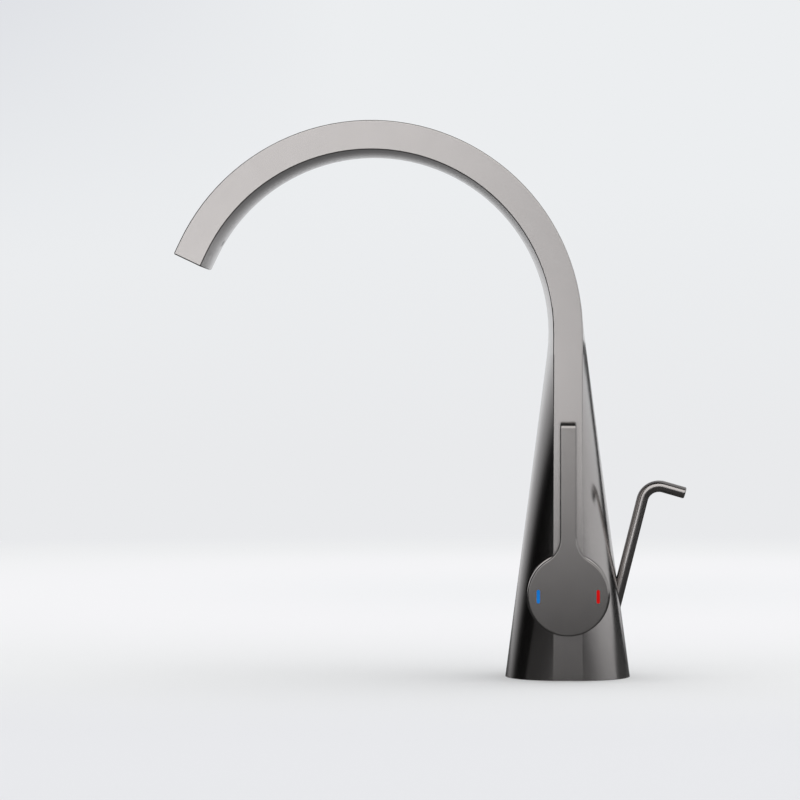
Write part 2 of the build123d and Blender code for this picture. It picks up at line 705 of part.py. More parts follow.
# Spindle: square outside, a finger and a ball inside
spindle_front = lever_back + LEVER_SOCKET_DEPTH - SPINDLE_END_GAP
with BuildPart() as spindle:
    with BuildSketch(valve_plane.offset(pivot_out - SPINDLE_TAIL)):
        Rectangle(SPINDLE_WIDTH, SPINDLE_WIDTH)
    extrude(amount=spindle_front - pivot_out + SPINDLE_TAIL)
    with BuildSketch(valve_plane.offset(ball_out)):
        Circle(FINGER_RADIUS)
    extrude(amount=BALL_ARM)
    with Locations((0, -ball_out, LEVER_HEIGHT)):
        Sphere(BALL_RADIUS)
    with BuildSketch(Plane.YZ.offset(-SPINDLE_WIDTH)):
        with Locations((-pivot_out, LEVER_HEIGHT)):
            Circle(PIN_RADIUS + PIN_GAP)
    extrude(amount=2 * SPINDLE_WIDTH, mode=Mode.SUBTRACT)
spindle.part.label = "spindle"
export_step(spindle.part, "parts/spindle.step")

# Ring nut, with notches for its wrench
nut_end = half_depth - NUT_INSET
with BuildPart() as cartridge_nut:
    with BuildSketch(valve_plane.offset(shoulder_out)):
        Circle(NUT_RADIUS)
        Circle(neck_radius + NUT_NECK_GAP, mode=Mode.SUBTRACT)
    extrude(amount=nut_end - shoulder_out)
    with BuildSketch(valve_plane.offset(nut_end)):
        with PolarLocations(NUT_RADIUS, NUT_NOTCHES):
            Rectangle(NUT_NOTCH_WIDTH, NUT_NOTCH_WIDTH)
    extrude(amount=-NUT_NOTCH_DEPTH, mode=Mode.SUBTRACT)
cartridge_nut.part.label = "cartridge_nut"
export_step(cartridge_nut.part, "parts/cartridge_nut.step")

# Collar: a skirt in front of the nut and a cone that lies parallel to the tilted lever
def swing_out(radius):
    """How far out the fully tilted lever's back is, on its low side, at a radius."""
    return pivot_out + (lever_back - pivot_out) * math.cos(tilt) - radius * math.sin(tilt)


collar_rim = boss_radius - COLLAR_RIM_INSET
with BuildPart() as valve_collar:
    with BuildSketch(Plane.XY.offset(LEVER_HEIGHT)):
        with BuildLine():
            Polyline(
                (NUT_RADIUS - COLLAR_SKIRT_WALL, -nut_end - FIT_GAP),
                (NUT_RADIUS, -nut_end - FIT_GAP),
                (NUT_RADIUS, -half_depth),
                (collar_rim, -half_depth),
                (collar_rim, -swing_out(collar_rim) + TILT_CLEARANCE),
                (COLLAR_INNER_RADIUS, -swing_out(COLLAR_INNER_RADIUS) + TILT_CLEARANCE),
                (COLLAR_INNER_RADIUS, -half_depth),
                (NUT_RADIUS - COLLAR_SKIRT_WALL, -half_depth),
                close=True,
            )
        make_face()
    revolve(axis=Axis((0, 0, LEVER_HEIGHT), (0, 1, 0)))
valve_collar.part.label = "valve_collar"
export_step(valve_collar.part, "parts/valve_collar.step")

# Lever: a disc that runs through a concave neck into an upright bar, with a hub behind
socket_side = SPINDLE_WIDTH + 2 * LEVER_SOCKET_GAP
hub_radius = socket_side / math.sqrt(2) + LEVER_HUB_WALL
lever_top = LEVER_HEIGHT + LEVER_REACH
mark_offset = LEVER_DISC_RADIUS - MARK_EDGE
with BuildPart() as lever_handle:
    with BuildSketch(valve_plane.offset(lever_back)):
        Circle(LEVER_DISC_RADIUS)
        with Locations((0, LEVER_REACH / 2)):
            Rectangle(LEVER_BAR_WIDTH, LEVER_REACH)
        roots = vertices().filter_by(
            lambda corner: SAME_PLACE < corner.Y < LEVER_REACH - SAME_PLACE
        )
        fillet(roots, LEVER_NECK_RADIUS)
    extrude(amount=LEVER_THICKNESS)
    front_face = lever_handle.faces().sort_by(Axis.Y)[0]
    top_edge = front_face.edges().sort_by(Axis.Z)[-1]
    fillet(top_edge, LEVER_TIP_RADIUS)
    front_face = lever_handle.faces().sort_by(Axis.Y)[0]
    rim = front_face.edges().filter_by(
        lambda edge: edge.center().Z < lever_top - LEVER_TIP_RADIUS - SAME_PLACE
    )
    chamfer(rim, LEVER_EDGE)
    with BuildSketch(valve_plane.offset(lever_back)):
        Circle(hub_radius)
    extrude(amount=-LEVER_HUB_LENGTH)
    with BuildSketch(valve_plane.offset(lever_back - LEVER_HUB_LENGTH)):
        Rectangle(socket_side, socket_side)
    extrude(amount=LEVER_HUB_LENGTH + LEVER_SOCKET_DEPTH, mode=Mode.SUBTRACT)
    with BuildSketch(Plane.XY.offset(LEVER_HEIGHT)):
        with Locations((0, -lever_back + LEVER_HUB_LENGTH / 2)):
            Circle(LEVER_GRUB_RADIUS)
    extrude(amount=-hub_radius, mode=Mode.SUBTRACT)
    with BuildSketch(valve_plane.offset(lever_front)):
        with GridLocations(2 * mark_offset, 0, 2, 1):
            Rectangle(MARK_WIDTH, MARK_HEIGHT)
    extrude(amount=-MARK_DEPTH, mode=Mode.SUBTRACT)
lever_handle.part.label = "lever_handle"
export_step(lever_handle.part, "parts/lever_handle.step")

# Grub screw that holds the lever on its spindle, let into the hub from below
with BuildPart() as lever_grub_screw:
    with BuildSketch(Plane.XY.offset(LEVER_HEIGHT - SPINDLE_WIDTH / 2)):
        with Locations((0, -lever_back + LEVER_HUB_LENGTH / 2)):
            Circle(LEVER_GRUB_RADIUS - FIT_GAP)
    extrude(amount=-(hub_radius - SPINDLE_WIDTH / 2 - EDGE_BREAK))
    lower_end = lever_grub_screw.faces().sort_by(Axis.Z)[0]
    with BuildSketch(Plane(lower_end.center(), z_dir=(0, 0, 1))):
        RegularPolygon(LEVER_GRUB_RADIUS * HEX_SOCKET_RATIO, 6)
    extrude(amount=SOCKET_DEPTH, mode=Mode.SUBTRACT)
lever_grub_screw.part.label = "lever_grub_screw"
export_step(lever_grub_screw.part, "parts/lever_grub_screw.step")

# Enamel fillings: blue towards the spout, red towards the back
for mark_name, side in (("cold_mark", -1), ("hot_mark", 1)):
    with BuildPart() as mark:
        with BuildSketch(valve_plane.offset(lever_front)):
            with Locations((side * mark_offset, 0)):
                Rectangle(MARK_WIDTH - 2 * FIT_GAP, MARK_HEIGHT - 2 * FIT_GAP)
        extrude(amount=-MARK_DEPTH)
    mark.part.label = mark_name
    export_step(mark.part, f"parts/{mark_name}.step")

# Flow insert in the end of the spout, with a spigot that meets the curved hose
slot_back = SCREEN_INSET + SCREEN_THICKNESS
spigot_outer = channel_height / 2 - HOSE_GAP - HOSE_WALL - FIT_GAP
hose_outer = channel_height / 2 - HOSE_GAP
with BuildPart() as outlet_nozzle:
    with BuildSketch(outlet_plane):
        RectangleRounded(nozzle_height, nozzle_width, NOZZLE_CORNER)
    extrude(amount=-NOZZLE_LENGTH)
    with BuildSketch(outlet_plane):
        RectangleRounded(
            nozzle_height + 2 * FLANGE_LIP,
            nozzle_width + 2 * FLANGE_LIP,
            NOZZLE_CORNER + FLANGE_LIP,
        )
    extrude(amount=-FLANGE_THICKNESS)
    spigot_plane = Plane(
        origin=arch_plane(spigot_angle).from_local_coords((ARCH_RADIUS, 0, 0)),
        x_dir=arch_plane(spigot_angle).x_dir,
        z_dir=arch_plane(spigot_angle).z_dir,
    )
    with BuildSketch(spigot_plane):
        Circle(spigot_outer)
    extrude(amount=SPIGOT_LENGTH + SPIGOT_ROOT)
    with BuildSketch(spigot_plane):
        Circle(spigot_outer - SPIGOT_WALL)
    extrude(amount=SPIGOT_LENGTH + NOZZLE_LENGTH - SLOT_DEPTH, mode=Mode.SUBTRACT)
    with BuildSketch(outlet_plane):
        Rectangle(SLOT_HEIGHT, SLOT_WIDTH)
    extrude(amount=-SLOT_DEPTH, mode=Mode.SUBTRACT)
    with BuildSketch(outlet_plane):
        Rectangle(SLOT_HEIGHT + 2 * SCREEN_LIP, SLOT_WIDTH + 2 * SCREEN_LIP)
    extrude(amount=-slot_back, mode=Mode.SUBTRACT)
    with BuildSketch(grub_plane):
        Circle(NOZZLE_GRUB_RADIUS)
    extrude(amount=-NOZZLE_DIMPLE, mode=Mode.SUBTRACT)
outlet_nozzle.part.label = "outlet_nozzle"
export_step(outlet_nozzle.part, "parts/outlet_nozzle.step")

# Gasket behind the insert's flange
with BuildPart() as outlet_seal:
    with BuildSketch(outlet_plane.offset(-FLANGE_THICKNESS)):
        RectangleRounded(
            nozzle_height + 2 * FLANGE_LIP,
            nozzle_width + 2 * FLANGE_LIP,
            NOZZLE_CORNER + FLANGE_LIP,
        )
        RectangleRounded(
            nozzle_height + 2 * FIT_GAP,
            nozzle_width + 2 * FIT_GAP,
            NOZZLE_CORNER,
            mode=Mode.SUBTRACT,
        )
    extrude(amount=-OUTLET_SEAL_THICKNESS)
outlet_seal.part.label = "outlet_seal"
export_step(outlet_seal.part, "parts/outlet_seal.step")

# Perforated screen across the outlet slot
with BuildPart() as outlet_screen:
    with BuildSketch(outlet_plane.offset(-SCREEN_INSET)):
        Rectangle(
            SLOT_HEIGHT + 2 * SCREEN_LIP - 2 * FIT_GAP,
            SLOT_WIDTH + 2 * SCREEN_LIP - 2 * FIT_GAP,
        )
        with GridLocations(SLOT_HEIGHT / 2, SCREEN_HOLE_PITCH, 2, SCREEN_COLUMNS):
            Rectangle(SCREEN_HOLE, SCREEN_HOLE, mode=Mode.SUBTRACT)
    extrude(amount=-SCREEN_THICKNESS)
outlet_screen.part.label = "outlet_screen"
export_step(outlet_screen.part, "parts/outlet_screen.step")

# Grub screw in the spout's underside that holds the insert
with BuildPart() as nozzle_grub_screw:
    with BuildSketch(grub_plane.offset(-NOZZLE_DIMPLE)):
        Circle(NOZZLE_GRUB_RADIUS - FIT_GAP)
    extrude(amount=NOZZLE_GRUB_LENGTH)
    with BuildSketch(grub_plane.offset(NOZZLE_GRUB_LENGTH - NOZZLE_DIMPLE)):
        RegularPolygon(NOZZLE_GRUB_RADIUS * HEX_SOCKET_RATIO, 6)
    extrude(amount=-SOCKET_DEPTH, mode=Mode.SUBTRACT)
nozzle_grub_screw.part.label = "nozzle_grub_screw"
export_step(nozzle_grub_screw.part, "parts/nozzle_grub_screw.step")

# Threaded nipple on the core: thread, hexagon and barbed spigot round one bore
with BuildPart() as hose_nipple:
    with BuildSketch(Plane.XY.offset(core_top - NIPPLE_THREAD_LENGTH)):
        Circle(NIPPLE_THREAD_RADIUS - FIT_GAP)
    extrude(amount=NIPPLE_THREAD_LENGTH)
    with BuildSketch(Plane.XY.offset(core_top)):
        RegularPolygon(NIPPLE_HEX_RADIUS, 6)
    extrude(amount=NIPPLE_HEX_HEIGHT)
    with BuildSketch(Plane.XY.offset(core_top + NIPPLE_HEX_HEIGHT)):
        Circle(spigot_outer)
    extrude(amount=NIPPLE_SPIGOT)
    with BuildSketch(Plane.XY.offset(core_top - NIPPLE_THREAD_LENGTH)):
        Circle(spigot_outer - SPIGOT_WALL)
    extrude(
        amount=NIPPLE_THREAD_LENGTH + NIPPLE_HEX_HEIGHT + NIPPLE_SPIGOT,
        mode=Mode.SUBTRACT,
    )
hose_nipple.part.label = "hose_nipple"
export_step(hose_nipple.part, "parts/hose_nipple.step")

# Inner hose: up the foot, round the arch and straight onto the insert's spigot
hose_start = core_top + NIPPLE_HEX_HEIGHT
with BuildLine() as hose_path:
    rise = Line((0, 0, hose_start), (0, 0, ARCH_HEIGHT))
    mid_x, mid_z = arch_point(ARCH_RADIUS, spigot_angle / 2)
    end_x, end_z = arch_point(ARCH_RADIUS, spigot_angle)
    bow = ThreePointArc(rise @ 1, (mid_x, 0, mid_z), (end_x, 0, end_z))
    spigot_turn = math.radians(ARCH_SWEEP - spigot_angle)
    end_run = SPIGOT_LENGTH - HOSE_END_GAP - hose_outer * math.tan(spigot_turn)
    Line(bow @ 1, bow @ 1 + (bow % 1) * end_run)
with BuildPart() as spout_hose:
    with BuildSketch(Plane.XY.offset(hose_start)):
        Circle(hose_outer)
        Circle(hose_outer - HOSE_WALL, mode=Mode.SUBTRACT)
    sweep(path=hose_path.wire())
spout_hose.part.label = "spout_hose"
export_step(spout_hose.part, "parts/spout_hose.step")

# Crimped sleeves on both ends of the hose
with BuildPart() as hose_ferrules:
    with BuildSketch(Plane.XY.offset(hose_start + HOSE_END_GAP)):
        Circle(hose_outer + FIT_GAP + FERRULE_WALL)
        Circle(hose_outer + FIT_GAP, mode=Mode.SUBTRACT)
    extrude(amount=FERRULE_LENGTH)
    with BuildSketch(spigot_plane.offset(HOSE_END_GAP)):
        Circle(hose_outer + FIT_GAP + FERRULE_WALL)
        Circle(hose_outer + FIT_GAP, mode=Mode.SUBTRACT)
    extrude(amount=FERRULE_LENGTH)
hose_ferrules.part.label = "hose_ferrules"
export_step(hose_ferrules.part, "parts/hose_ferrules.step")

# Lift rod: straight stem, one bend and a short drooping end, and a thread at its foot
stem_direction = Vector(math.sin(lean), 0, math.cos(lean))
droop = math.radians(ROD_END_DROOP)
end_direction = Vector(math.cos(droop), 0, -math.sin(droop))
rod_start = Vector(rod_foot_x, 0, 0) + stem_direction * (ROD_START / math.cos(lean))
rod_corner = Vector(rod_foot_x, 0, 0) + stem_direction * (ROD_CORNER_HEIGHT / math.cos(lean))
with BuildLine() as rod_path:
    FilletPolyline(
        rod_start, rod_corner, rod_corner + end_direction * ROD_END_REACH, radius=ROD_BEND_RADIUS
    )
with BuildPart() as lift_rod:
    with BuildSketch(Plane(origin=rod_start, z_dir=stem_direction)):
        Circle(rod_radius)
    sweep(path=rod_path.wire())
    rod_end = lift_rod.faces().filter_by(GeomType.PLANE).sort_by(Axis.X)[-1]
    fillet(rod_end.edges(), ROD_TIP_ROUND)
    with BuildSketch(Plane(origin=rod_start, z_dir=stem_direction)):
        Circle(rod_radius)
        Circle(ROD_THREAD_RADIUS, mode=Mode.SUBTRACT)
    extrude(amount=ROD_THREAD_LENGTH, mode=Mode.SUBTRACT)
    rod_foot = lift_rod.faces().filter_by(GeomType.PLANE).sort_by(Axis.Z)[0]
    chamfer(rod_foot.edges(), EDGE_BREAK)
lift_rod.part.label = "lift_rod"
export_step(lift_rod.part, "parts/lift_rod.step")

# Guide bush of the rod, pressed into the lug from below
with BuildPart() as rod_guide_bush:
    with BuildSketch(rod_plane_at(LUG_BOTTOM)):
        Circle(bush_outer - FIT_GAP)
        Circle(rod_radius + ROD_RUNNING_GAP, mode=Mode.SUBTRACT)
    extrude(amount=BUSH_LENGTH)
rod_guide_bush.part.label = "rod_guide_bush"
export_step(rod_guide_bush.part, "parts/rod_guide_bush.step")

# Rubber ring between the bush and the end of its counterbore
with BuildPart() as rod_seal:
    with BuildSketch(rod_plane_at(LUG_BOTTOM).offset(BUSH_LENGTH)):
        Circle(bush_outer - FIT_GAP)
        Circle(rod_radius + FIT_GAP, mode=Mode.SUBTRACT)
    extrude(amount=ROD_SEAL_THICKNESS)
rod_seal.part.label = "rod_seal"
export_step(rod_seal.part, "parts/rod_seal.step")
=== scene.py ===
import math

import bpy
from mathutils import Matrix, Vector
from mathutils.kdtree import KDTree


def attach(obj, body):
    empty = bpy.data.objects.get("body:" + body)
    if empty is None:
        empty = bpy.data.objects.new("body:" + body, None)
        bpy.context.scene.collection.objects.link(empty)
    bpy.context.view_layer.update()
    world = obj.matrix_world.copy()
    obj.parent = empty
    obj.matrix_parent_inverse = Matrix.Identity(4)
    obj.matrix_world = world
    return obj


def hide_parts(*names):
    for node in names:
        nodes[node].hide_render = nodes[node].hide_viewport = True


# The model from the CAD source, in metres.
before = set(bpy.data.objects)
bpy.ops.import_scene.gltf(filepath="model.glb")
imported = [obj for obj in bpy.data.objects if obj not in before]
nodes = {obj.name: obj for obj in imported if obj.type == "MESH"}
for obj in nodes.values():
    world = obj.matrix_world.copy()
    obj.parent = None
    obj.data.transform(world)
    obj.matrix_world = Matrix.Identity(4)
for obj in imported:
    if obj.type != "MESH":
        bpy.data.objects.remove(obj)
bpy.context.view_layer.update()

# Foot and arched spout. One hollow casting in brass: a round foot that narrows into a flat
# band, ground flat with crisp creases and coated by PVD in gunmetal grey. It stands on the deck.
MM = 0.001
BASE_RADIUS = 27.0
BAND_THICKNESS = 12.6
ARCH_RADIUS = 84.4
ARCH_HEIGHT = 149.2
ARCH_SWEEP = math.radians(154.6)
TIP_LENGTH = 6.0
TIP_CHAMFER = 0.45
TIP_REACH = 12.0
TIP_KEEP = 1.0
IN_PLANE_MM = 0.01
END_FACE = 0.999
UNDERSIDE_CROWN = 2.0
GUNMETAL_HEX = "#aeaaa8"
GUNMETAL_SHADE_HEX = "#a8a4a2"
GUNMETAL_ROUGHNESS = 0.17
GROUND_SPREAD = 0.02
GROUND_CLOUD_MM = 9.0
GROUND_LINE_MM = 0.9
GROUND_LINE_STRETCH = 14.0
GROUND_DEPTH_MM = 0.0002
CLOUD_DETAIL = 3.0
LINE_DETAIL = 2.0
MERGE = 1e-6
ON_SURFACE_MM = 0.15
ALONG_SURFACE = 0.97
FLAT_MM = 0.001
FLAT_FACING = 0.9999
KNEE_BLEND_MM = 12.0
CREASE_ANGLE = math.radians(24.0)


def from_hex(text):
    """Linear colour of an sRGB hex value, as Blender's sockets take it."""
    channels = [int(text[i:i + 2], 16) / 255 for i in (1, 3, 5)]
    return [c / 12.92 if c <= 0.04045 else ((c + 0.055) / 1.055) ** 2.4 for c in channels] + [1.0]


def node(tree, kind, settings=None, links=None):
    """Adds a node, sets its sockets and properties by name, and links sockets into it."""
    made = tree.nodes.new(kind)
    for name, value in (settings or {}).items():
        if name == "stops":
            elements = made.color_ramp.elements
            while len(elements) < len(value):
                elements.new(0.5)
            for element, (at, level) in zip(elements, value):
                element.position = at
                element.color = from_hex(level) if isinstance(level, str) else [level] * 3 + [1.0]
        elif isinstance(name, int) or name in made.inputs:
            made.inputs[name].default_value = value
        else:
            setattr(made, name, value)
    for name, source in (links or {}).items():
        tree.links.new(source, made.inputs[name])
    return made


def start_material(name):
    """A new material with an empty tree, and the object's own coordinates in metres."""
    made = bpy.data.materials.new(name)
    made.use_nodes = True
    made.node_tree.nodes.clear()
    return made, made.node_tree, node(made.node_tree, "ShaderNodeTexCoord").outputs["Object"]


def worked_metal(name, hexes, roughness, spread, cloud_mm, line_mm, stretch, depth_mm):
    """A bare metal face: faint clouds of colour, and tool lines drawn out along one axis."""
    made, tree, place = start_material(name)
    clouds = node(tree, "ShaderNodeTexNoise",
                  {"Scale": 1.0 / (cloud_mm * MM), "Detail": CLOUD_DETAIL}, {"Vector": place})
    colour = node(tree, "ShaderNodeMix",
                  {"data_type": "RGBA", 6: from_hex(hexes[0]), 7: from_hex(hexes[1])},
                  {0: clouds.outputs["Fac"]})
    drawn = node(tree, "ShaderNodeMapping", {"Scale": [1.0 / along for along in stretch]},
                 {"Vector": place})
    lines = node(tree, "ShaderNodeTexNoise",
                 {"Scale": 1.0 / (line_mm * MM), "Detail": LINE_DETAIL},
                 {"Vector": drawn.outputs["Vector"]})
    gloss = node(tree, "ShaderNodeMapRange",
                 {"To Min": roughness - spread, "To Max": roughness + spread},
                 {"Value": lines.outputs["Fac"]})
    bump = node(tree, "ShaderNodeBump", {"Strength": 1.0, "Distance": depth_mm * MM},
                {"Height": lines.outputs["Fac"]})
    shader = node(tree, "ShaderNodeBsdfPrincipled", {"Metallic": 1.0},
                  {"Base Color": colour.outputs[2], "Roughness": gloss.outputs["Result"],
                   "Normal": bump.outputs["Normal"]})
    node(tree, "ShaderNodeOutputMaterial", links={"Surface": shader.outputs["BSDF"]})
    return made


def dress(names, material):
    """Gives CAD nodes their finish."""
    for name in names:
        slots = nodes[name].data.materials
        slots.clear()
        slots.append(material)


def take_up(piece):
    """Makes a piece the active one and the only one selected."""
    bpy.ops.object.select_all(action="DESELECT")
    piece.select_set(True)
    bpy.context.view_layer.objects.active = piece


def unpick(piece):
    """Takes up a piece with nothing picked in its mesh, so that edges can be picked by place."""
    take_up(piece)
    bpy.ops.object.mode_set(mode="EDIT")
    bpy.ops.mesh.select_mode(type="EDGE")
    bpy.ops.mesh.select_all(action="DESELECT")
    bpy.ops.object.mode_set(mode="OBJECT")


# The arch's axis and the heights where the foot's two lines touch the arch, in millimetres
half_band = BAND_THICKNESS / 2
half_depth = math.sqrt(BASE_RADIUS ** 2 - half_band ** 2)
arch_x = -ARCH_RADIUS
crown_radius = ARCH_RADIUS - half_band - UNDERSIDE_CROWN
band_outer = ARCH_RADIUS + half_band


def touch(start_x, radius):
    """Place (x, z) where a line up from the foot's edge touches a circle of the arch."""
    reach = math.hypot(start_x - arch_x, ARCH_HEIGHT)
    turn = math.atan2(-ARCH_HEIGHT, start_x - arch_x) + math.acos(radius / reach)
    return arch_x + radius * math.cos(turn), ARCH_HEIGHT + radius * math.sin(turn)


knee = {-1: touch(-BASE_RADIUS, crown_radius), 1: touch(BASE_RADIUS, band_outer)}
knee_height = knee[-1][1]


def flank(point):
    """The foot's bulging face near a point in mm: its normal, and how far outside the point is."""
    side = -1 if point.x < 0 else 1
    lean = (knee[side][0] - side * BASE_RADIUS) / knee[side][1]
    middle = side * BASE_RADIUS + lean * point.z
    bulge = abs(middle) - half_band
    radius = (half_depth ** 2 + bulge ** 2) / (2 * bulge)
    growth = side * lean * (bulge ** 2 - half_depth ** 2) / (2 * bulge ** 2)
    across = point.x - (middle - side * radius)
    normal = Vector((across, point.y, -across * (lean - side * growth) - radius * growth))
    return normal.normalized(), math.hypot(across, point.y) - radius


def spot(*points):
    """A key for places in the mesh, the same for all that lie within a micrometre."""
    return tuple(round(c, 6) for point in points for c in point)


# The CAD mesh's own shading ripples where its long triangles meet, and polished metal shows
# it. So a merged copy stands for it, with the normals of the true bulged and flat faces. The
# other faces keep theirs, found again by the place of the face and of its corner.
cast = nodes["body_shell"].data
shading = {}
for face in cast.polygons:
    for corner in face.loop_indices:
        at = cast.vertices[cast.loops[corner].vertex_index].co
        shading[spot(face.center, at)] = cast.corner_normals[corner].vector.copy()
body = bpy.data.objects.new("cast_body", cast.copy())
bpy.context.scene.collection.objects.link(body)
unpick(body)
bpy.ops.object.mode_set(mode="EDIT")
bpy.ops.mesh.select_all(action="SELECT")
bpy.ops.mesh.remove_doubles(threshold=MERGE)
bpy.ops.object.mode_set(mode="OBJECT")

# The outer edge round the spout's end is broken, which draws a dark line along it. It is the
# edge in the end's plane that has one side wall, and that wall faces away from the middle.
mesh = body.data

# The way that the spout's end faces, and the middle of the end in millimetres
tip_way = Vector((-math.sin(ARCH_SWEEP), 0.0, math.cos(ARCH_SWEEP)))
tip = Vector((arch_x + ARCH_RADIUS * math.cos(ARCH_SWEEP), 0.0,
              ARCH_HEIGHT + ARCH_RADIUS * math.sin(ARCH_SWEEP))) + TIP_LENGTH * tip_way
unpick(body)
beside = {}
for face in mesh.polygons:
    for key in face.edge_keys:
        beside.setdefault(key, []).append(face.normal)
for side in mesh.edges:
    ends = [mesh.vertices[v].co / MM - tip for v in side.vertices]
    walls = [normal for normal in beside[side.key] if normal.dot(tip_way) < END_FACE]
    side.select = (all(abs(end.dot(tip_way)) < IN_PLANE_MM for end in ends) and len(walls) == 1
                   and walls[0].dot(ends[0] + ends[1]) > 0.0)
bpy.ops.object.mode_set(mode="EDIT")
bpy.ops.mesh.bevel(offset=TIP_CHAMFER * MM, segments=1, affect="EDGES", clamp_overlap=False)
bpy.ops.object.mode_set(mode="OBJECT")
bpy.ops.object.shade_smooth_by_angle(angle=CREASE_ANGLE)

# Every corner gets its normal. Faces that the broken edge cuts have lost their place, and take
# the nearest old normal that lies along them.
around = KDTree(len(cast.loops))
for loop in cast.loops:
    around.insert(cast.vertices[loop.vertex_index].co, loop.index)
around.balance()
normals = [normal.vector.copy() for normal in mesh.corner_normals]
for face in mesh.polygons:
    centre = face.center / MM
    normal, outward = flank(centre)
    bulged = (0.0 <= centre.z < knee_height and abs(centre.x) > half_band
              and abs(outward) < ON_SURFACE_MM and normal.dot(face.normal) > ALONG_SURFACE)
    flat = abs(abs(centre.y) - half_depth) < FLAT_MM and abs(face.normal.y) > FLAT_FACING
    for corner in face.loop_indices:
        at = mesh.vertices[mesh.loops[corner].vertex_index].co
        kept = shading.get(spot(face.center, at))
        if kept is None and (at / MM - tip).dot(tip_way) > -TIP_REACH:
            near = [cast.corner_normals[index].vector
                    for _, index, _ in around.find_range(at, TIP_KEEP * MM)]
            kept = max(near, key=face.normal.dot, default=None)
            kept = kept if kept and kept.dot(face.normal) > ALONG_SURFACE else None
        if kept is not None:
            normals[corner] = kept
        if flat:
            normals[corner] = Vector((0.0, math.copysign(1.0, centre.y), 0.0))
        elif bulged:
            share = min(max((knee_height - at.z / MM) / KNEE_BLEND_MM, 0.0), 1.0)
            normals[corner] = normals[corner].lerp(flank(at / MM)[0], share).normalized()
mesh.normals_split_custom_set(normals)

# PVD gunmetal over ground brass: a dark satin mirror, faintly clouded, with hair-fine upright
# grinding lines. The lines are drawn coarser than the real ones, so that they show.
body_gunmetal = worked_metal(
    "pvd_gunmetal_on_ground_brass", (GUNMETAL_SHADE_HEX, GUNMETAL_HEX),
    roughness=GUNMETAL_ROUGHNESS, spread=GROUND_SPREAD, cloud_mm=GROUND_CLOUD_MM,
    line_mm=GROUND_LINE_MM, stretch=(1.0, 1.0, GROUND_LINE_STRETCH), depth_mm=GROUND_DEPTH_MM)
mesh.materials.clear()
mesh.materials.append(body_gunmetal)
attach(body, "mixer_body")
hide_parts("body_shell")

# Seal under the foot. A square EPDM ring let into the foot's rim, pressed flat on the deck.
MOULD_CLOUD_MM = 6.0
MOULD_CLOUD_DETAIL = 2.0
MOULD_GRAIN_DETAIL = 3.0
MOULD_SPREAD = 0.05
RUBBER_IOR = 1.52


def moulded(name, hexes, roughness, cloud_mm, grain_mm, depth_mm, **sockets):
    """A moulded or fired face: faint clouds of colour under an even fine grain."""
    made, tree, place = start_material(name)
    clouds = node(tree, "ShaderNodeTexNoise",
                  {"Scale": 1.0 / (cloud_mm * MM), "Detail": MOULD_CLOUD_DETAIL},
                  {"Vector": place})
    colour = node(tree, "ShaderNodeMix",
                  {"data_type": "RGBA", 6: from_hex(hexes[0]), 7: from_hex(hexes[1])},
                  {0: clouds.outputs["Fac"]})
    grain = node(tree, "ShaderNodeTexNoise",
                 {"Scale": 1.0 / (grain_mm * MM), "Detail": MOULD_GRAIN_DETAIL},
                 {"Vector": place})
    gloss = node(tree, "ShaderNodeMapRange",
                 {"To Min": roughness - MOULD_SPREAD, "To Max": roughness + MOULD_SPREAD},
                 {"Value": grain.outputs["Fac"]})
    bump = node(tree, "ShaderNodeBump", {"Strength": 1.0, "Distance": depth_mm * MM},
                {"Height": grain.outputs["Fac"]})
    settings = {socket.replace("_", " "): value for socket, value in sockets.items()}
    shader = node(tree, "ShaderNodeBsdfPrincipled", {"Metallic": 0.0, **settings},
                  {"Base Color": colour.outputs[2], "Roughness": gloss.outputs["Result"],
                   "Normal": bump.outputs["Normal"]})
    node(tree, "ShaderNodeOutputMaterial", links={"Surface": shader.outputs["BSDF"]})
    return made


# Moulded EPDM rubber: matt black with a dry bloom and a fine mould grain.
epdm = moulded("moulded_epdm_rubber", ("#161616", "#222221"), roughness=0.72,
               cloud_mm=MOULD_CLOUD_MM, grain_mm=0.35, depth_mm=0.012, IOR=RUBBER_IOR)
dress(["base_seal"], epdm)

# Waterway core and its two long screws. A hot-pressed brass block in the foot that takes both
# inlet hoses and the fixing stud, and seats the valve; the screws hold it under the ceiling.
EVEN = (1.0, 1.0, 1.0)
TOOL_RINGS = (20.0, 20.0, 1.0)

# Hot-pressed brass: yellow, a little tarnished, with the dull grain of the press tool.
pressed_brass = worked_metal("hot_pressed_brass", ("#b3924c", "#caa85e"), roughness=0.42,
                             spread=0.05, cloud_mm=5.0, line_mm=0.5, stretch=EVEN, depth_mm=0.02)
dress(["waterway_core"], pressed_brass)

# Turned stainless steel: pale grey with fine rings left by the lathe.
turned_steel = worked_metal(
    "turned_stainless_steel", ("#a9a9a6", "#bdbcb9"), roughness=0.28, spread=0.04, cloud_mm=4.0,
    line_mm=0.3, stretch=TOOL_RINGS, depth_mm=0.004)
dress(["core_screws"], turned_steel)

# Inner hose from the core to the outlet. A hexagonal brass nipple is screwed into the core, an
# EPDM hose is pushed on it and on the outlet's spigot, and a crimped sleeve holds each end.

# Turned brass: bright yellow with fine tool rings.
turned_brass = worked_metal("turned_brass", ("#c09c50", "#d6b468"), roughness=0.26, spread=0.04,
                            cloud_mm=4.0, line_mm=0.3, stretch=TOOL_RINGS, depth_mm=0.004)
dress(["hose_nipple"], turned_brass)

# Extruded EPDM hose: dark grey, smoother and glossier than the moulded seals.
hose_epdm = moulded("extruded_epdm_hose", ("#28282a", "#343436"), roughness=0.48, cloud_mm=11.0,
                    grain_mm=0.5, depth_mm=0.006, IOR=RUBBER_IOR)
dress(["spout_hose"], hose_epdm)

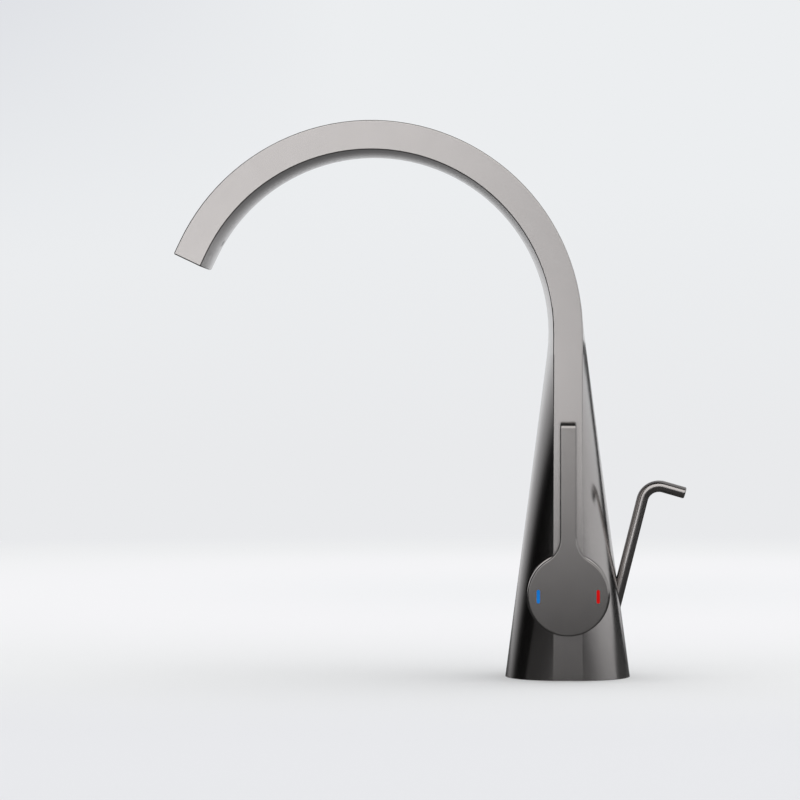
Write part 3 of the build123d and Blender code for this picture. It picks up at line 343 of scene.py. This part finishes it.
# Crimped stainless sleeve: pressed sheet, a little wavy and satin.
crimped_steel = worked_metal(
    "crimped_stainless_sheet", ("#aeadaa", "#c2c1be"), roughness=0.3, spread=0.05, cloud_mm=3.0,
    line_mm=0.6, stretch=(1.0, 1.0, 3.0), depth_mm=0.012)
dress(["hose_ferrules"], crimped_steel)

# Outlet in the end of the spout. A black flow insert with a slot, a gasket behind its flange,
# an etched screen across the slot, and a grub screw through the spout's underside.

# Moulded black ABS: dense black with a soft sheen and a fine spark-eroded grain.
black_abs = moulded("moulded_black_abs", ("#151515", "#1d1d1d"), roughness=0.38, cloud_mm=7.0,
                    grain_mm=0.3, depth_mm=0.008, IOR=1.53)
dress(["outlet_nozzle"], black_abs)
dress(["outlet_seal"], epdm)

# Etched stainless sheet: flat, cool grey and finely matt.
etched_steel = worked_metal(
    "etched_stainless_sheet", ("#a6a7a8", "#b7b8b9"), roughness=0.34, spread=0.04, cloud_mm=3.0,
    line_mm=0.25, stretch=EVEN, depth_mm=0.006)
dress(["outlet_screen"], etched_steel)

# Blackened steel: oil-black oxide over a turned face, with brown-black clouds.
black_oxide = worked_metal("black_oxide_steel", ("#2b2928", "#3a3836"), roughness=0.36,
                           spread=0.06, cloud_mm=1.5, line_mm=0.3, stretch=EVEN, depth_mm=0.006)
dress(["nozzle_grub_screw"], black_oxide)

# Ceramic valve. An acetal housing with a snap-in base and three port rings, two lapped alumina
# discs, and a blue driver and carrier that join the moving disc to the lever's spindle.
ACETAL_IOR = 1.48

# Moulded acetal: milky off-white, waxy, with faint flow clouds.
acetal = moulded("moulded_acetal", ("#dcd9d1", "#e9e7e0"), roughness=0.4, cloud_mm=MOULD_CLOUD_MM,
                 grain_mm=0.4, depth_mm=0.006, IOR=ACETAL_IOR)
dress(["cartridge_housing", "cartridge_base"], acetal)
dress(["cartridge_port_seals"], epdm)

# Lapped alumina: warm white, dense and nearly polished, with a faint speckle of the fired grain.
alumina = moulded("lapped_alumina_ceramic", ("#e2dfd8", "#efece6"), roughness=0.22, cloud_mm=0.8,
                  grain_mm=0.15, depth_mm=0.001, IOR=1.77)
dress(["fixed_ceramic_disc", "moving_ceramic_disc"], alumina)

# Moulded acetal in blue: even in colour, waxy and slightly grained.
blue_acetal = moulded("moulded_blue_acetal", ("#6a8cb3", "#7898bd"), roughness=0.4,
                      cloud_mm=MOULD_CLOUD_MM, grain_mm=0.4, depth_mm=0.006, IOR=ACETAL_IOR)
dress(["disc_driver", "spindle_carrier"], blue_acetal)

# Spindle with its pivot pin, the ring nut that clamps the valve, and the coned collar that
# hides the nut behind the lever.
AXIS_HEIGHT = 37.1
COLLAR_STEPS = 144
COLLAR_EDGE = 20.0
FLATS_FIRST = 100
MILLED_HEXES = ("#8e8a88", "#93908e")
dress(["spindle", "cartridge_nut"], turned_brass)
dress(["spindle_pivot_pin"], turned_steel)

# PVD gunmetal over turned brass: the body's colour, a touch darker, with rings round the axis.
turned_gunmetal = worked_metal(
    "pvd_gunmetal_on_turned_brass", MILLED_HEXES, roughness=GUNMETAL_ROUGHNESS,
    spread=GROUND_SPREAD, cloud_mm=GROUND_CLOUD_MM, line_mm=GROUND_LINE_MM,
    stretch=(GROUND_LINE_STRETCH, 1.0, GROUND_LINE_STRETCH), depth_mm=GROUND_DEPTH_MM)

# The collar's section, as (distance from the valve's axis, depth) round its outline, with a
# thin flange whose back lies against the flat of the band
FLANGE_BACK = -26.2547
COLLAR_SECTION = ((13.2, -24.27), (15.0, -24.27), (15.0, FLANGE_BACK), (17.9, FLANGE_BACK),
                  (17.95, -26.3), (17.95, -26.42), (17.5, -26.95), (17.4, -27.0), (16.7, -27.1),
                  (16.6, -27.1), (16.3, -26.8), (16.1, -26.67), (11.0, -28.41),
                  (11.0, FLANGE_BACK), (13.2, FLANGE_BACK))
ring = bpy.data.meshes.new("collar")
ring.from_pydata([(r * MM, y * MM, AXIS_HEIGHT * MM) for r, y in COLLAR_SECTION],
                 [(i, (i + 1) % len(COLLAR_SECTION)) for i in range(len(COLLAR_SECTION))], [])
collar = bpy.data.objects.new("turned_collar", ring)
bpy.context.scene.collection.objects.link(collar)
unpick(collar)
bpy.ops.object.mode_set(mode="EDIT")
bpy.ops.mesh.select_all(action="SELECT")
bpy.ops.mesh.spin(steps=COLLAR_STEPS, angle=2 * math.pi, center=(0.0, 0.0, AXIS_HEIGHT * MM),
                  axis=(0.0, 1.0, 0.0))
bpy.ops.mesh.select_all(action="SELECT")
bpy.ops.mesh.remove_doubles(threshold=MERGE)
bpy.ops.mesh.normals_make_consistent(inside=False)
bpy.ops.object.mode_set(mode="OBJECT")


def finish_edges(piece, angle):
    """Shades rounds smooth up to an angle in degrees, and keeps the flats between them flat."""
    take_up(piece)
    bpy.ops.object.shade_smooth_by_angle(angle=math.radians(angle))
    flat = piece.modifiers.new("flat", "WEIGHTED_NORMAL")
    flat.keep_sharp = True
    flat.weight = FLATS_FIRST
    bpy.ops.object.modifier_apply(modifier=flat.name)


finish_edges(collar, COLLAR_EDGE)
ring.materials.append(turned_gunmetal)
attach(collar, "mixer_body")
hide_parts("valve_collar")

# Lever. A brass disc that runs through a concave neck into an upright bar, milled in one piece
# with rounded edges and a well-rounded tip. Behind it a hub with a square socket takes the
# spindle, and two pockets in its face take the enamel.
LEVER_BACK = 33.378
LEVER_THICKNESS = 4.0
LEVER_DISC_RADIUS = 17.3
LEVER_REACH = 73.7
LEVER_BAR_WIDTH = 6.9
LEVER_NECK_RADIUS = 11.2
LEVER_RIM_ROUND = 0.6
LEVER_RIM_STEPS = 7
LEVER_BACK_ROUND = 0.4
LEVER_BACK_STEPS = 4
LEVER_TIP_ROUND = 2.8
LEVER_TIP_STEPS = 14
LEVER_EDGE = 32.0
FACING_AT_ALL = 0.001
FACING_UP = 0.9
TOP_REACH = 0.1
HUB_RADIUS = 6.47
HUB_LENGTH = 3.6
SOCKET_SIDE = 7.1
SOCKET_DEPTH = 2.0
GRUB_HOLE_RADIUS = 1.25
TOOL_SIDES = 48
SEATED = 0.5
PAST = 1.0
MARK_WIDTH = 1.45
MARK_HEIGHT = 5.8
MARK_OFFSET = 12.7
MARK_DROP = 0.4
MARK_DEPTH = 0.3
MARK_ROUND_SHARE = 0.49
MARK_ROUND_STEPS = 8
ARC_STEP = math.radians(2.5)


def arc(centre_x, centre_z, radius, start, end):
    """Points (x, z) along a circle from one angle to another, both ends included."""
    steps = max(2, round(abs(end - start) / ARC_STEP))
    turns = [start + (end - start) * i / steps for i in range(steps + 1)]
    return [(centre_x + radius * math.cos(t), centre_z + radius * math.sin(t)) for t in turns]


def rounded_pill(name, width, height, centre_x, front, back):
    """A small upright slab with fully rounded ends, between two depths."""
    bpy.ops.object.select_all(action="DESELECT")
    middle = (centre_x * MM, (front + back) / 2 * MM, (AXIS_HEIGHT - MARK_DROP) * MM)
    bpy.ops.mesh.primitive_cube_add(size=1.0, location=middle)
    pill = bpy.context.object
    pill.name = name
    pill.scale = (width * MM, abs(back - front) * MM, height * MM)
    bpy.ops.object.transform_apply(location=True, rotation=True, scale=True)
    unpick(pill)
    for side in pill.data.edges:
        ends = [pill.data.vertices[v].co for v in side.vertices]
        side.select = abs(ends[0].y - ends[1].y) > 0.5 * abs(back - front) * MM
    bpy.ops.object.mode_set(mode="EDIT")
    bpy.ops.mesh.bevel(offset=MARK_ROUND_SHARE * width * MM, segments=MARK_ROUND_STEPS,
                       affect="EDGES", clamp_overlap=False)
    bpy.ops.object.mode_set(mode="OBJECT")
    return pill


def combine(piece, other, operation):
    """Joins another solid to a piece, or cuts it out, and clears the other away."""
    take_up(piece)
    cut = piece.modifiers.new("combine", "BOOLEAN")
    cut.operation = operation
    cut.solver = "EXACT"
    cut.object = other
    bpy.ops.object.modifier_apply(modifier=cut.name)
    bpy.data.objects.remove(other)


# The outline, clockwise from the front: disc, left neck, bar, right neck
half_bar = LEVER_BAR_WIDTH / 2
neck_x = half_bar + LEVER_NECK_RADIUS
neck_rise = math.sqrt((LEVER_DISC_RADIUS + LEVER_NECK_RADIUS) ** 2 - neck_x ** 2)
root = math.atan2(neck_rise, neck_x)
lever_top = AXIS_HEIGHT + LEVER_REACH
outline = (arc(0.0, AXIS_HEIGHT, LEVER_DISC_RADIUS, root, -math.pi - root)
           + arc(-neck_x, AXIS_HEIGHT + neck_rise, LEVER_NECK_RADIUS, -root, 0.0)[1:]
           + [(-half_bar, lever_top), (half_bar, lever_top)]
           + arc(neck_x, AXIS_HEIGHT + neck_rise, LEVER_NECK_RADIUS, math.pi, math.pi + root)[:-1])
plate = bpy.data.meshes.new("lever")
plate.from_pydata([(x * MM, -LEVER_BACK * MM, z * MM) for x, z in outline], [],
                  [list(range(len(outline)))])
lever = bpy.data.objects.new("milled_lever", plate)
bpy.context.scene.collection.objects.link(lever)
unpick(lever)
bpy.ops.object.mode_set(mode="EDIT")
bpy.ops.mesh.select_all(action="SELECT")
bpy.ops.mesh.extrude_region_move(
    TRANSFORM_OT_translate={"value": (0.0, -LEVER_THICKNESS * MM, 0.0)})
bpy.ops.mesh.select_all(action="SELECT")
bpy.ops.mesh.normals_make_consistent(inside=False)
bpy.ops.object.mode_set(mode="OBJECT")

# The tip's front edge is rounded first, then the rim all round, and last the back edge
lever_front = LEVER_BACK + LEVER_THICKNESS
unpick(lever)
for side in plate.edges:
    ends = [plate.vertices[v].co / MM for v in side.vertices]
    side.select = all(end.z > lever_top - IN_PLANE_MM and end.y < -lever_front + IN_PLANE_MM
                      for end in ends)
bpy.ops.object.mode_set(mode="EDIT")
bpy.ops.mesh.bevel(offset=LEVER_TIP_ROUND * MM, segments=LEVER_TIP_STEPS, affect="EDGES",
                   clamp_overlap=False)
bpy.ops.object.mode_set(mode="OBJECT")
for radius, steps, facing in ((LEVER_RIM_ROUND, LEVER_RIM_STEPS, -1),
                              (LEVER_BACK_ROUND, LEVER_BACK_STEPS, 1)):
    unpick(lever)
    borders = {}
    for face in plate.polygons:
        level = facing * face.normal.y > FACING_AT_ALL
        top = (facing < 0 and face.normal.z > FACING_UP
               and face.center.z / MM > lever_top - TOP_REACH)
        for key in face.edge_keys:
            borders.setdefault(key, []).append(level or top)
    for side in plate.edges:
        at_back = all(abs(plate.vertices[v].co.y / MM + LEVER_BACK) < FLAT_MM
                      for v in side.vertices)
        side.select = sorted(borders[side.key]) == [False, True] and (facing < 0 or at_back)
    bpy.ops.object.mode_set(mode="EDIT")
    bpy.ops.mesh.bevel(offset=radius * MM, segments=steps, affect="EDGES", clamp_overlap=False)
    bpy.ops.object.mode_set(mode="OBJECT")

# The hub is seated in the disc. The tools of the socket, of the grub screw's hole and of the
# pockets start past the face that they cut into.
bpy.ops.object.select_all(action="DESELECT")
bpy.ops.mesh.primitive_cylinder_add(
    vertices=TOOL_SIDES, radius=HUB_RADIUS * MM, depth=(HUB_LENGTH + SEATED) * MM,
    location=(0.0, (-LEVER_BACK + (HUB_LENGTH - SEATED) / 2) * MM, AXIS_HEIGHT * MM),
    rotation=(math.pi / 2, 0.0, 0.0))
combine(lever, bpy.context.object, "UNION")
bpy.ops.object.select_all(action="DESELECT")
bpy.ops.mesh.primitive_cube_add(
    size=MM, scale=(SOCKET_SIDE, HUB_LENGTH + PAST + SOCKET_DEPTH, SOCKET_SIDE),
    location=(0.0, (-LEVER_BACK + (HUB_LENGTH + PAST - SOCKET_DEPTH) / 2) * MM, AXIS_HEIGHT * MM))
combine(lever, bpy.context.object, "DIFFERENCE")
bpy.ops.object.select_all(action="DESELECT")
bpy.ops.mesh.primitive_cylinder_add(
    vertices=TOOL_SIDES, radius=GRUB_HOLE_RADIUS * MM, depth=(HUB_RADIUS + PAST) * MM,
    location=(0.0, (-LEVER_BACK + HUB_LENGTH / 2) * MM, (AXIS_HEIGHT - (HUB_RADIUS + PAST) / 2) * MM))
combine(lever, bpy.context.object, "DIFFERENCE")
for side in (-1, 1):
    pocket = rounded_pill("pocket", MARK_WIDTH, MARK_HEIGHT, side * MARK_OFFSET,
                          -lever_front - SEATED, -lever_front + MARK_DEPTH)
    combine(lever, pocket, "DIFFERENCE")
finish_edges(lever, LEVER_EDGE)

# PVD gunmetal over milled brass: darker and more even than the body, lines along the bar.
milled_gunmetal = worked_metal(
    "pvd_gunmetal_on_milled_brass", MILLED_HEXES, roughness=GUNMETAL_ROUGHNESS,
    spread=GROUND_SPREAD, cloud_mm=GROUND_CLOUD_MM, line_mm=GROUND_LINE_MM,
    stretch=(1.0, 1.0, GROUND_LINE_STRETCH), depth_mm=GROUND_DEPTH_MM)
lever.data.materials.clear()
lever.data.materials.append(milled_gunmetal)
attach(lever, "lever")
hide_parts("lever_handle")
dress(["lever_grub_screw"], black_oxide)

# Temperature marks. Enamel filled into the lever's two pockets: blue towards the spout for
# cold, red towards the back for hot. Each lies just below the metal and is rounded at its ends.
MARK_GAP = 0.02
MARK_SINK = 0.03
MARK_EDGE = 40.0
BLUE_HEXES = ("#1476cc", "#187ed8")
RED_HEXES = ("#c8090b", "#d60b0d")

# Filled enamel: strong even colour with a soft, weak sheen and the faint swirl of the filling.
for name, carried, slot, side, hexes in (
        ("cold_enamel", "cold_mark", "blue_enamel", -1, BLUE_HEXES),
        ("hot_enamel", "hot_mark", "red_enamel", 1, RED_HEXES)):
    mark = rounded_pill(name, MARK_WIDTH - 2 * MARK_GAP, MARK_HEIGHT - 2 * MARK_GAP,
                        side * MARK_OFFSET, -lever_front + MARK_SINK, -lever_front + MARK_DEPTH)
    finish_edges(mark, MARK_EDGE)
    enamel = moulded("filled_" + slot, hexes, roughness=0.4, cloud_mm=2.0, grain_mm=0.5,
                     depth_mm=0.004, IOR=1.5, Specular_IOR_Level=0.05)
    mark.data.materials.append(enamel)
    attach(mark, "lever")
    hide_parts(carried)

# Lift rod of the pop-up waste, with its guide. A brass rod bent over at the top and coated as
# the body is; it slides in an acetal bush in the back of the foot, under a rubber ring.

# PVD gunmetal over drawn rod: smooth, with long draw lines.
drawn_gunmetal = worked_metal(
    "pvd_gunmetal_on_drawn_rod", ("#9b9795", "#a19d9b"), roughness=GUNMETAL_ROUGHNESS,
    spread=GROUND_SPREAD, cloud_mm=GROUND_CLOUD_MM, line_mm=0.4, stretch=(1.0, 1.0, 40.0),
    depth_mm=GROUND_DEPTH_MM)
dress(["lift_rod"], drawn_gunmetal)
dress(["rod_guide_bush"], acetal)
dress(["rod_seal"], epdm)

# Camera. A long lens in front of the lever side, a little above the middle of the foot.
CAMERA_PLACE = (-0.01415, -1.65029, 0.13049)
CAMERA_YAW = 0.0355
CAMERA_PITCH = -0.0064
FOCAL_PX = 3800.0
FRAME_PX = 800.0
SENSOR_MM = 36.0
lens = bpy.data.cameras.new("long_lens")
lens.sensor_width = SENSOR_MM
lens.lens = SENSOR_MM * FOCAL_PX / FRAME_PX
camera = bpy.data.objects.new("camera", lens)
bpy.context.scene.collection.objects.link(camera)
camera.location = CAMERA_PLACE
look = Vector((-math.sin(CAMERA_YAW) * math.cos(CAMERA_PITCH),
               math.cos(CAMERA_YAW) * math.cos(CAMERA_PITCH), math.sin(CAMERA_PITCH)))
camera.rotation_mode = "QUATERNION"
camera.rotation_quaternion = look.to_track_quat("-Z", "Y")
bpy.context.scene.camera = camera

# Floor and backdrop. Pale matt paper under the tap with a painted pool of light, brightest behind it,
# that fades into an even pale backdrop all round.
FLOOR_RADIUS = 1.9
FLOOR_SIDES = 96
# The paper's painted pool of light: its middle behind the tap, and its colours by distance from there
POOL_BEHIND = 0.65
PAINTED_POOL_TONES = ((0.0, "#f0f1f3"), (0.3, "#f4f4f6"), (0.66, "#f0f1f2"), (0.95, "#e9eaed"),
               (1.8, "#e5e6e9"))
PAPER_ROUGHNESS = 0.9
FADE_START = 1.0
FADE_END = 1.6
BACKDROP_HEX = "#eceef0"
BACKDROP_LOW_HEX = "#e9eaec"
PAINTED_CORNER_SHADE_HEX = "#dcdee3"
HORIZON = (-0.02, 0.05)
CORNER_ACROSS = (-0.05, -0.15)
CORNER_UP = (0.03, 0.11)
AMBIENT = 0.93


def fade(tree, distance, reach, stops):
    """Colours or shares of cover that follow stops of (distance in metres, value)."""
    share = node(tree, "ShaderNodeMapRange", {"From Max": reach}, {"Value": distance})
    return node(tree, "ShaderNodeValToRGB",
                {"stops": [(at / reach, value) for at, value in stops]},
                {"Fac": share.outputs["Result"]})


bpy.ops.object.select_all(action="DESELECT")
bpy.ops.mesh.primitive_circle_add(vertices=FLOOR_SIDES, radius=FLOOR_RADIUS, fill_type="NGON")
floor = bpy.context.object
floor.name = "studio_floor"

# Matt paper: near white with no gloss, its colour falling off away from a painted pool of light behind
# the tap.
paper, tree, place = start_material("matt_paper_with_painted_pool")
away = node(tree, "ShaderNodeVectorMath", {"operation": "LENGTH"}, {0: place}).outputs["Value"]
pool = node(tree, "ShaderNodeVectorMath",
            {"operation": "DISTANCE", 1: (0.0, POOL_BEHIND, 0.0)}, {0: place}).outputs["Value"]
painted_pool = fade(tree, pool, FLOOR_RADIUS, PAINTED_POOL_TONES)
painted_pool.color_ramp.interpolation = "EASE"
sheet = node(tree, "ShaderNodeBsdfPrincipled",
             {"Roughness": PAPER_ROUGHNESS, "Specular IOR Level": 0.0},
             {"Base Color": painted_pool.outputs["Color"]})
clear = node(tree, "ShaderNodeBsdfTransparent")
edge = node(tree, "ShaderNodeMapRange",
            {"From Min": FADE_START, "From Max": FADE_END, "interpolation_type": "SMOOTHSTEP"},
            {"Value": away})
faded = node(tree, "ShaderNodeMixShader",
             links={0: edge.outputs["Result"], 1: sheet.outputs["BSDF"], 2: clear.outputs["BSDF"]})
node(tree, "ShaderNodeOutputMaterial", links={"Surface": faded.outputs["Shader"]})
floor.data.materials.append(paper)

# The backdrop is a shade lighter above the horizon, and painted shade greys its upper left corner. The
# camera, mirrors and clear things see it; all else gets an even soft light.
world = bpy.data.worlds.new("studio")
bpy.context.scene.world = world
world.use_nodes = True
world.cycles.sampling_method = "NONE"
tree = world.node_tree
tree.nodes.clear()
way = node(tree, "ShaderNodeTexCoord").outputs["Generated"]
axes = node(tree, "ShaderNodeSeparateXYZ", links={0: way})
height, leftward, upward = (
    node(tree, "ShaderNodeMapRange", {"From Min": first, "From Max": last},
         {"Value": axes.outputs[axis]})
    for axis, (first, last) in (("Z", HORIZON), ("X", CORNER_ACROSS), ("Z", CORNER_UP)))
sky = node(tree, "ShaderNodeValToRGB", {"stops": [(0.0, BACKDROP_LOW_HEX), (1.0, BACKDROP_HEX)]},
           {"Fac": height.outputs["Result"]})
# Painted shade that greys the upper left corner of the backdrop
corner = node(tree, "ShaderNodeMath", {"operation": "MULTIPLY"},
              {0: leftward.outputs["Result"], 1: upward.outputs["Result"]})
backdrop_with_painted_shade = node(tree, "ShaderNodeMix", {"data_type": "RGBA", 7: from_hex(PAINTED_CORNER_SHADE_HEX)},
             {0: corner.outputs[0], 6: sky.outputs["Color"]})
seen = node(tree, "ShaderNodeBackground", {"Strength": 1.0}, {"Color": backdrop_with_painted_shade.outputs[2]})
soft = node(tree, "ShaderNodeBackground", {"Color": (1, 1, 1, 1), "Strength": AMBIENT})
path = node(tree, "ShaderNodeLightPath")
either = node(tree, "ShaderNodeMath", {"operation": "MAXIMUM"},
              {0: path.outputs["Is Camera Ray"], 1: path.outputs["Is Glossy Ray"]})
either = node(tree, "ShaderNodeMath", {"operation": "MAXIMUM"},
              {0: either.outputs[0], 1: path.outputs["Is Transmission Ray"]})
both = node(tree, "ShaderNodeMixShader",
            links={0: either.outputs[0], 1: soft.outputs[0], 2: seen.outputs[0]})
node(tree, "ShaderNodeOutputWorld", links={"Surface": both.outputs[0]})

# Lamps. In front on the left a strip lights the flat of the band, and a low narrow band of light
# the lever. A wide box high in front picks out rounded edges, and a square one behind and
# overhead lights the floor.
LAMP_DISTANCE = 3.0
KEY_DISTANCE = 2.5
AIM_HEIGHT = 0.12
STRIP_WIDTH = 1.34


def softbox(name, azimuth, elevation, size, radiance, distance=LAMP_DISTANCE):
    """An oblong lamp that faces the tap, at a bearing from the front and an angle of height."""
    light = bpy.data.lights.new(name, "AREA")
    light.shape = "RECTANGLE"
    light.size, light.size_y = size
    light.energy = radiance * math.pi * size[0] * size[1]
    round_about = math.radians(azimuth)
    rise = math.radians(elevation)
    out = Vector((math.sin(round_about) * math.cos(rise), -math.cos(round_about) * math.cos(rise),
                  math.sin(rise)))
    lamp = bpy.data.objects.new(name, light)
    bpy.context.scene.collection.objects.link(lamp)
    lamp.location = Vector((0.0, 0.0, AIM_HEIGHT)) + out * distance
    lamp.rotation_mode = "QUATERNION"
    lamp.rotation_quaternion = (-out).to_track_quat("-Z", "Y")
    return lamp


softbox("strip_softbox", azimuth=-13.5, elevation=3.9, size=(STRIP_WIDTH, 0.36), radiance=0.57)
low = softbox("low_softbox", azimuth=-12.5, elevation=-0.3, size=(STRIP_WIDTH, 0.084),
              radiance=2.2)
high = softbox("edge_softbox", azimuth=0.0, elevation=28.0, size=(3.2, 2.2), radiance=1.7)
overhead = softbox("key_softbox", azimuth=150.0, elevation=80.0, size=(2.0, 2.0), radiance=0.5,
                   distance=KEY_DISTANCE)
low.visible_diffuse = False
high.visible_diffuse = False
overhead.visible_glossy = False

# Black felt hung on the left of the set and over it, open low in front, on the right and behind,
# and a mat of it that thins out round the foot, so that the metal mirrors dark between its
# bright windows. Cover is given by bearing from the front, in degrees.
TENT_RADIUS = 4.0
TENT_SIDES = 96
FELT_HEX = "#0c0c0c"
LEFT_DROP = ((-180, 0.0), (-160, 0.0), (-150, 0.2), (-140, 0.42), (-132, 0.6), (-125, 0.82),
             (-118, 0.97), (-110, 1.0))
LOW_DROP = LEFT_DROP + ((-38, 1.0), (-29, 0.0), (180, 0.0))
MID_DROP = LEFT_DROP + ((30, 1.0), (44, 0.0), (180, 0.0))
HIGH_DROP = ((-180, 0.4), (-120, 0.6), (-60, 0.9), (-20, 1.0), (30, 1.0), (60, 0.5), (110, 0.4),
             (180, 0.4))
DROP_EDGES = ((6.0, 13.0), (25.0, 45.0))


def weave(tree, cover, hue):
    """Felt where the cover is one, nothing where it is zero, and a thin mix between."""
    felt = node(tree, "ShaderNodeBsdfPrincipled",
                {"Roughness": 1.0, "Specular IOR Level": 0.0, "Base Color": from_hex(hue)})
    clear = node(tree, "ShaderNodeBsdfTransparent")
    hung = node(tree, "ShaderNodeMixShader",
                links={0: cover, 1: clear.outputs["BSDF"], 2: felt.outputs["BSDF"]})
    node(tree, "ShaderNodeOutputMaterial", links={"Surface": hung.outputs["Shader"]})


bpy.ops.object.select_all(action="DESELECT")
bpy.ops.mesh.primitive_uv_sphere_add(segments=TENT_SIDES, ring_count=TENT_SIDES // 2,
                                     radius=TENT_RADIUS)
tent = bpy.context.object
tent.name = "felt_tent"

# Black felt: lightless and dry, hung thick or thin by bearing and height.
black_felt, tree, place = start_material("black_felt")
axes = node(tree, "ShaderNodeSeparateXYZ", links={0: place})
front = node(tree, "ShaderNodeMath", {"operation": "MULTIPLY", 1: -1.0}, {0: axes.outputs["Y"]})
bearing = node(tree, "ShaderNodeMath", {"operation": "ARCTAN2"},
               {0: axes.outputs["X"], 1: front.outputs[0]})
turn = node(tree, "ShaderNodeMapRange", {"From Min": -math.pi, "From Max": math.pi},
            {"Value": bearing.outputs[0]}).outputs["Result"]
drops = [node(tree, "ShaderNodeValToRGB", {"stops": [((at + 180) / 360, level) for at, level in drop]},
              {"Fac": turn}).outputs["Color"]
         for drop in (LOW_DROP, MID_DROP, HIGH_DROP)]
cover = drops[0]
for upper, (first, last) in zip(drops[1:], DROP_EDGES):
    rise = node(tree, "ShaderNodeMapRange",
                {"From Min": TENT_RADIUS * math.sin(math.radians(first)),
                 "From Max": TENT_RADIUS * math.sin(math.radians(last)),
                 "interpolation_type": "SMOOTHSTEP"}, {"Value": axes.outputs["Z"]})
    cover = node(tree, "ShaderNodeMix", {"data_type": "RGBA"},
                 {0: rise.outputs["Result"], 6: cover, 7: upper}).outputs[2]
weave(tree, cover, FELT_HEX)
tent.data.materials.append(black_felt)

MAT_RADIUS = 5.0
MAT_SIDES = 64
MAT_CLEAR = 0.0002
MAT_LEFT = 0.35
MAT_COVER = ((0.0, 1.0), (0.36, 0.88), (0.5, 0.91), (0.8, 0.8), (1.2, 0.52), (2.0, 0.26),
             (3.0, 0.1), (4.8, 0.0))
bpy.ops.object.select_all(action="DESELECT")
bpy.ops.mesh.primitive_circle_add(vertices=MAT_SIDES, radius=MAT_RADIUS, fill_type="NGON",
                                  location=(0.0, 0.0, MAT_CLEAR))
bpy.ops.object.transform_apply(location=True)
mat = bpy.context.object
mat.name = "felt_mat"

# Thinned felt: the same black cloth, opening with distance until nothing is left of it.
thinned_felt, tree, place = start_material("thinned_black_felt")
away = node(tree, "ShaderNodeVectorMath", {"operation": "DISTANCE", 1: (-MAT_LEFT, 0.0, 0.0)},
            {0: place}).outputs["Value"]
weave(tree, fade(tree, away, MAT_RADIUS, MAT_COVER).outputs["Color"], FELT_HEX)
mat.data.materials.append(thinned_felt)

# Felt hung close by, upright round the tap. A black flag on the right and behind leans over as
# it rises, and gives the right flank the dark line near its edge. Thin felt low on the right
# and a grey strip low on the left shade the foot. A row is a height in millimetres and the two
# bearings that the cloth spans there. Cover is given by height in metres.
FELT_DISTANCE = 0.3
FELT_CENTRE = (0.017, -0.008)
FELT_COLUMNS = 9
FLAG_ROWS = ((0, 101, 152), (17, 103, 150), (27, 108, 147), (40, 118, 149), (61, 128, 148),
             (78, 135, 153), (95, 143, 158), (112, 151, 165), (130, 158, 171), (150, 165, 177))
SKIRT_ROWS = ((0, 28, 106), (60, 28, 110))
STRIP_ROWS = ((0, -84, -33), (48, -80, -33))
SKIRT_COVER = ((0.0, 0.45), (0.018, 0.36), (0.03, 0.2), (0.06, 0.0))
STRIP_COVER = ((0.0, 1.0), (0.028, 1.0), (0.048, 0.0))
STRIP_HEX = "#4a4a4a"
FLAG_COVER = ((0.0, 0.9), (0.025, 0.93), (0.05, 1.0), (0.15, 1.0))
hangings = []
for name, rows, hue, stops in (("felt_flag", FLAG_ROWS, FELT_HEX, FLAG_COVER),
                               ("thin_felt_skirt", SKIRT_ROWS, FELT_HEX, SKIRT_COVER),
                               ("grey_felt_strip", STRIP_ROWS, STRIP_HEX, STRIP_COVER)):
    corners = []
    for rise, left, right in rows:
        for column in range(FELT_COLUMNS):
            bearing = math.radians(left + (right - left) * column / (FELT_COLUMNS - 1))
            corners.append((FELT_CENTRE[0] + FELT_DISTANCE * math.sin(bearing),
                            FELT_CENTRE[1] - FELT_DISTANCE * math.cos(bearing), rise * MM))
    firsts = [row * FELT_COLUMNS + column for row in range(len(rows) - 1)
              for column in range(FELT_COLUMNS - 1)]
    faces = [(first, first + 1, first + FELT_COLUMNS + 1, first + FELT_COLUMNS)
             for first in firsts]
    cloth = bpy.data.meshes.new(name)
    cloth.from_pydata(corners, [], faces)
    hanging = bpy.data.objects.new(name, cloth)
    bpy.context.scene.collection.objects.link(hanging)

    # Felt of an open weave: dry and dark at the deck, with its own cover at each height.
    made, tree, place = start_material("open_weave_of_" + name)
    rise = node(tree, "ShaderNodeSeparateXYZ", links={0: place}).outputs["Z"]
    weave(tree, fade(tree, rise, stops[-1][0], stops).outputs["Color"], hue)
    cloth.materials.append(made)
    hangings.append(hanging)

# Nothing but a reflection sees the felt
for hidden in (tent, mat, *hangings):
    hidden.visible_camera = False
    hidden.visible_diffuse = False
    hidden.visible_shadow = False

bpy.context.scene.view_settings.view_transform = "Standard"
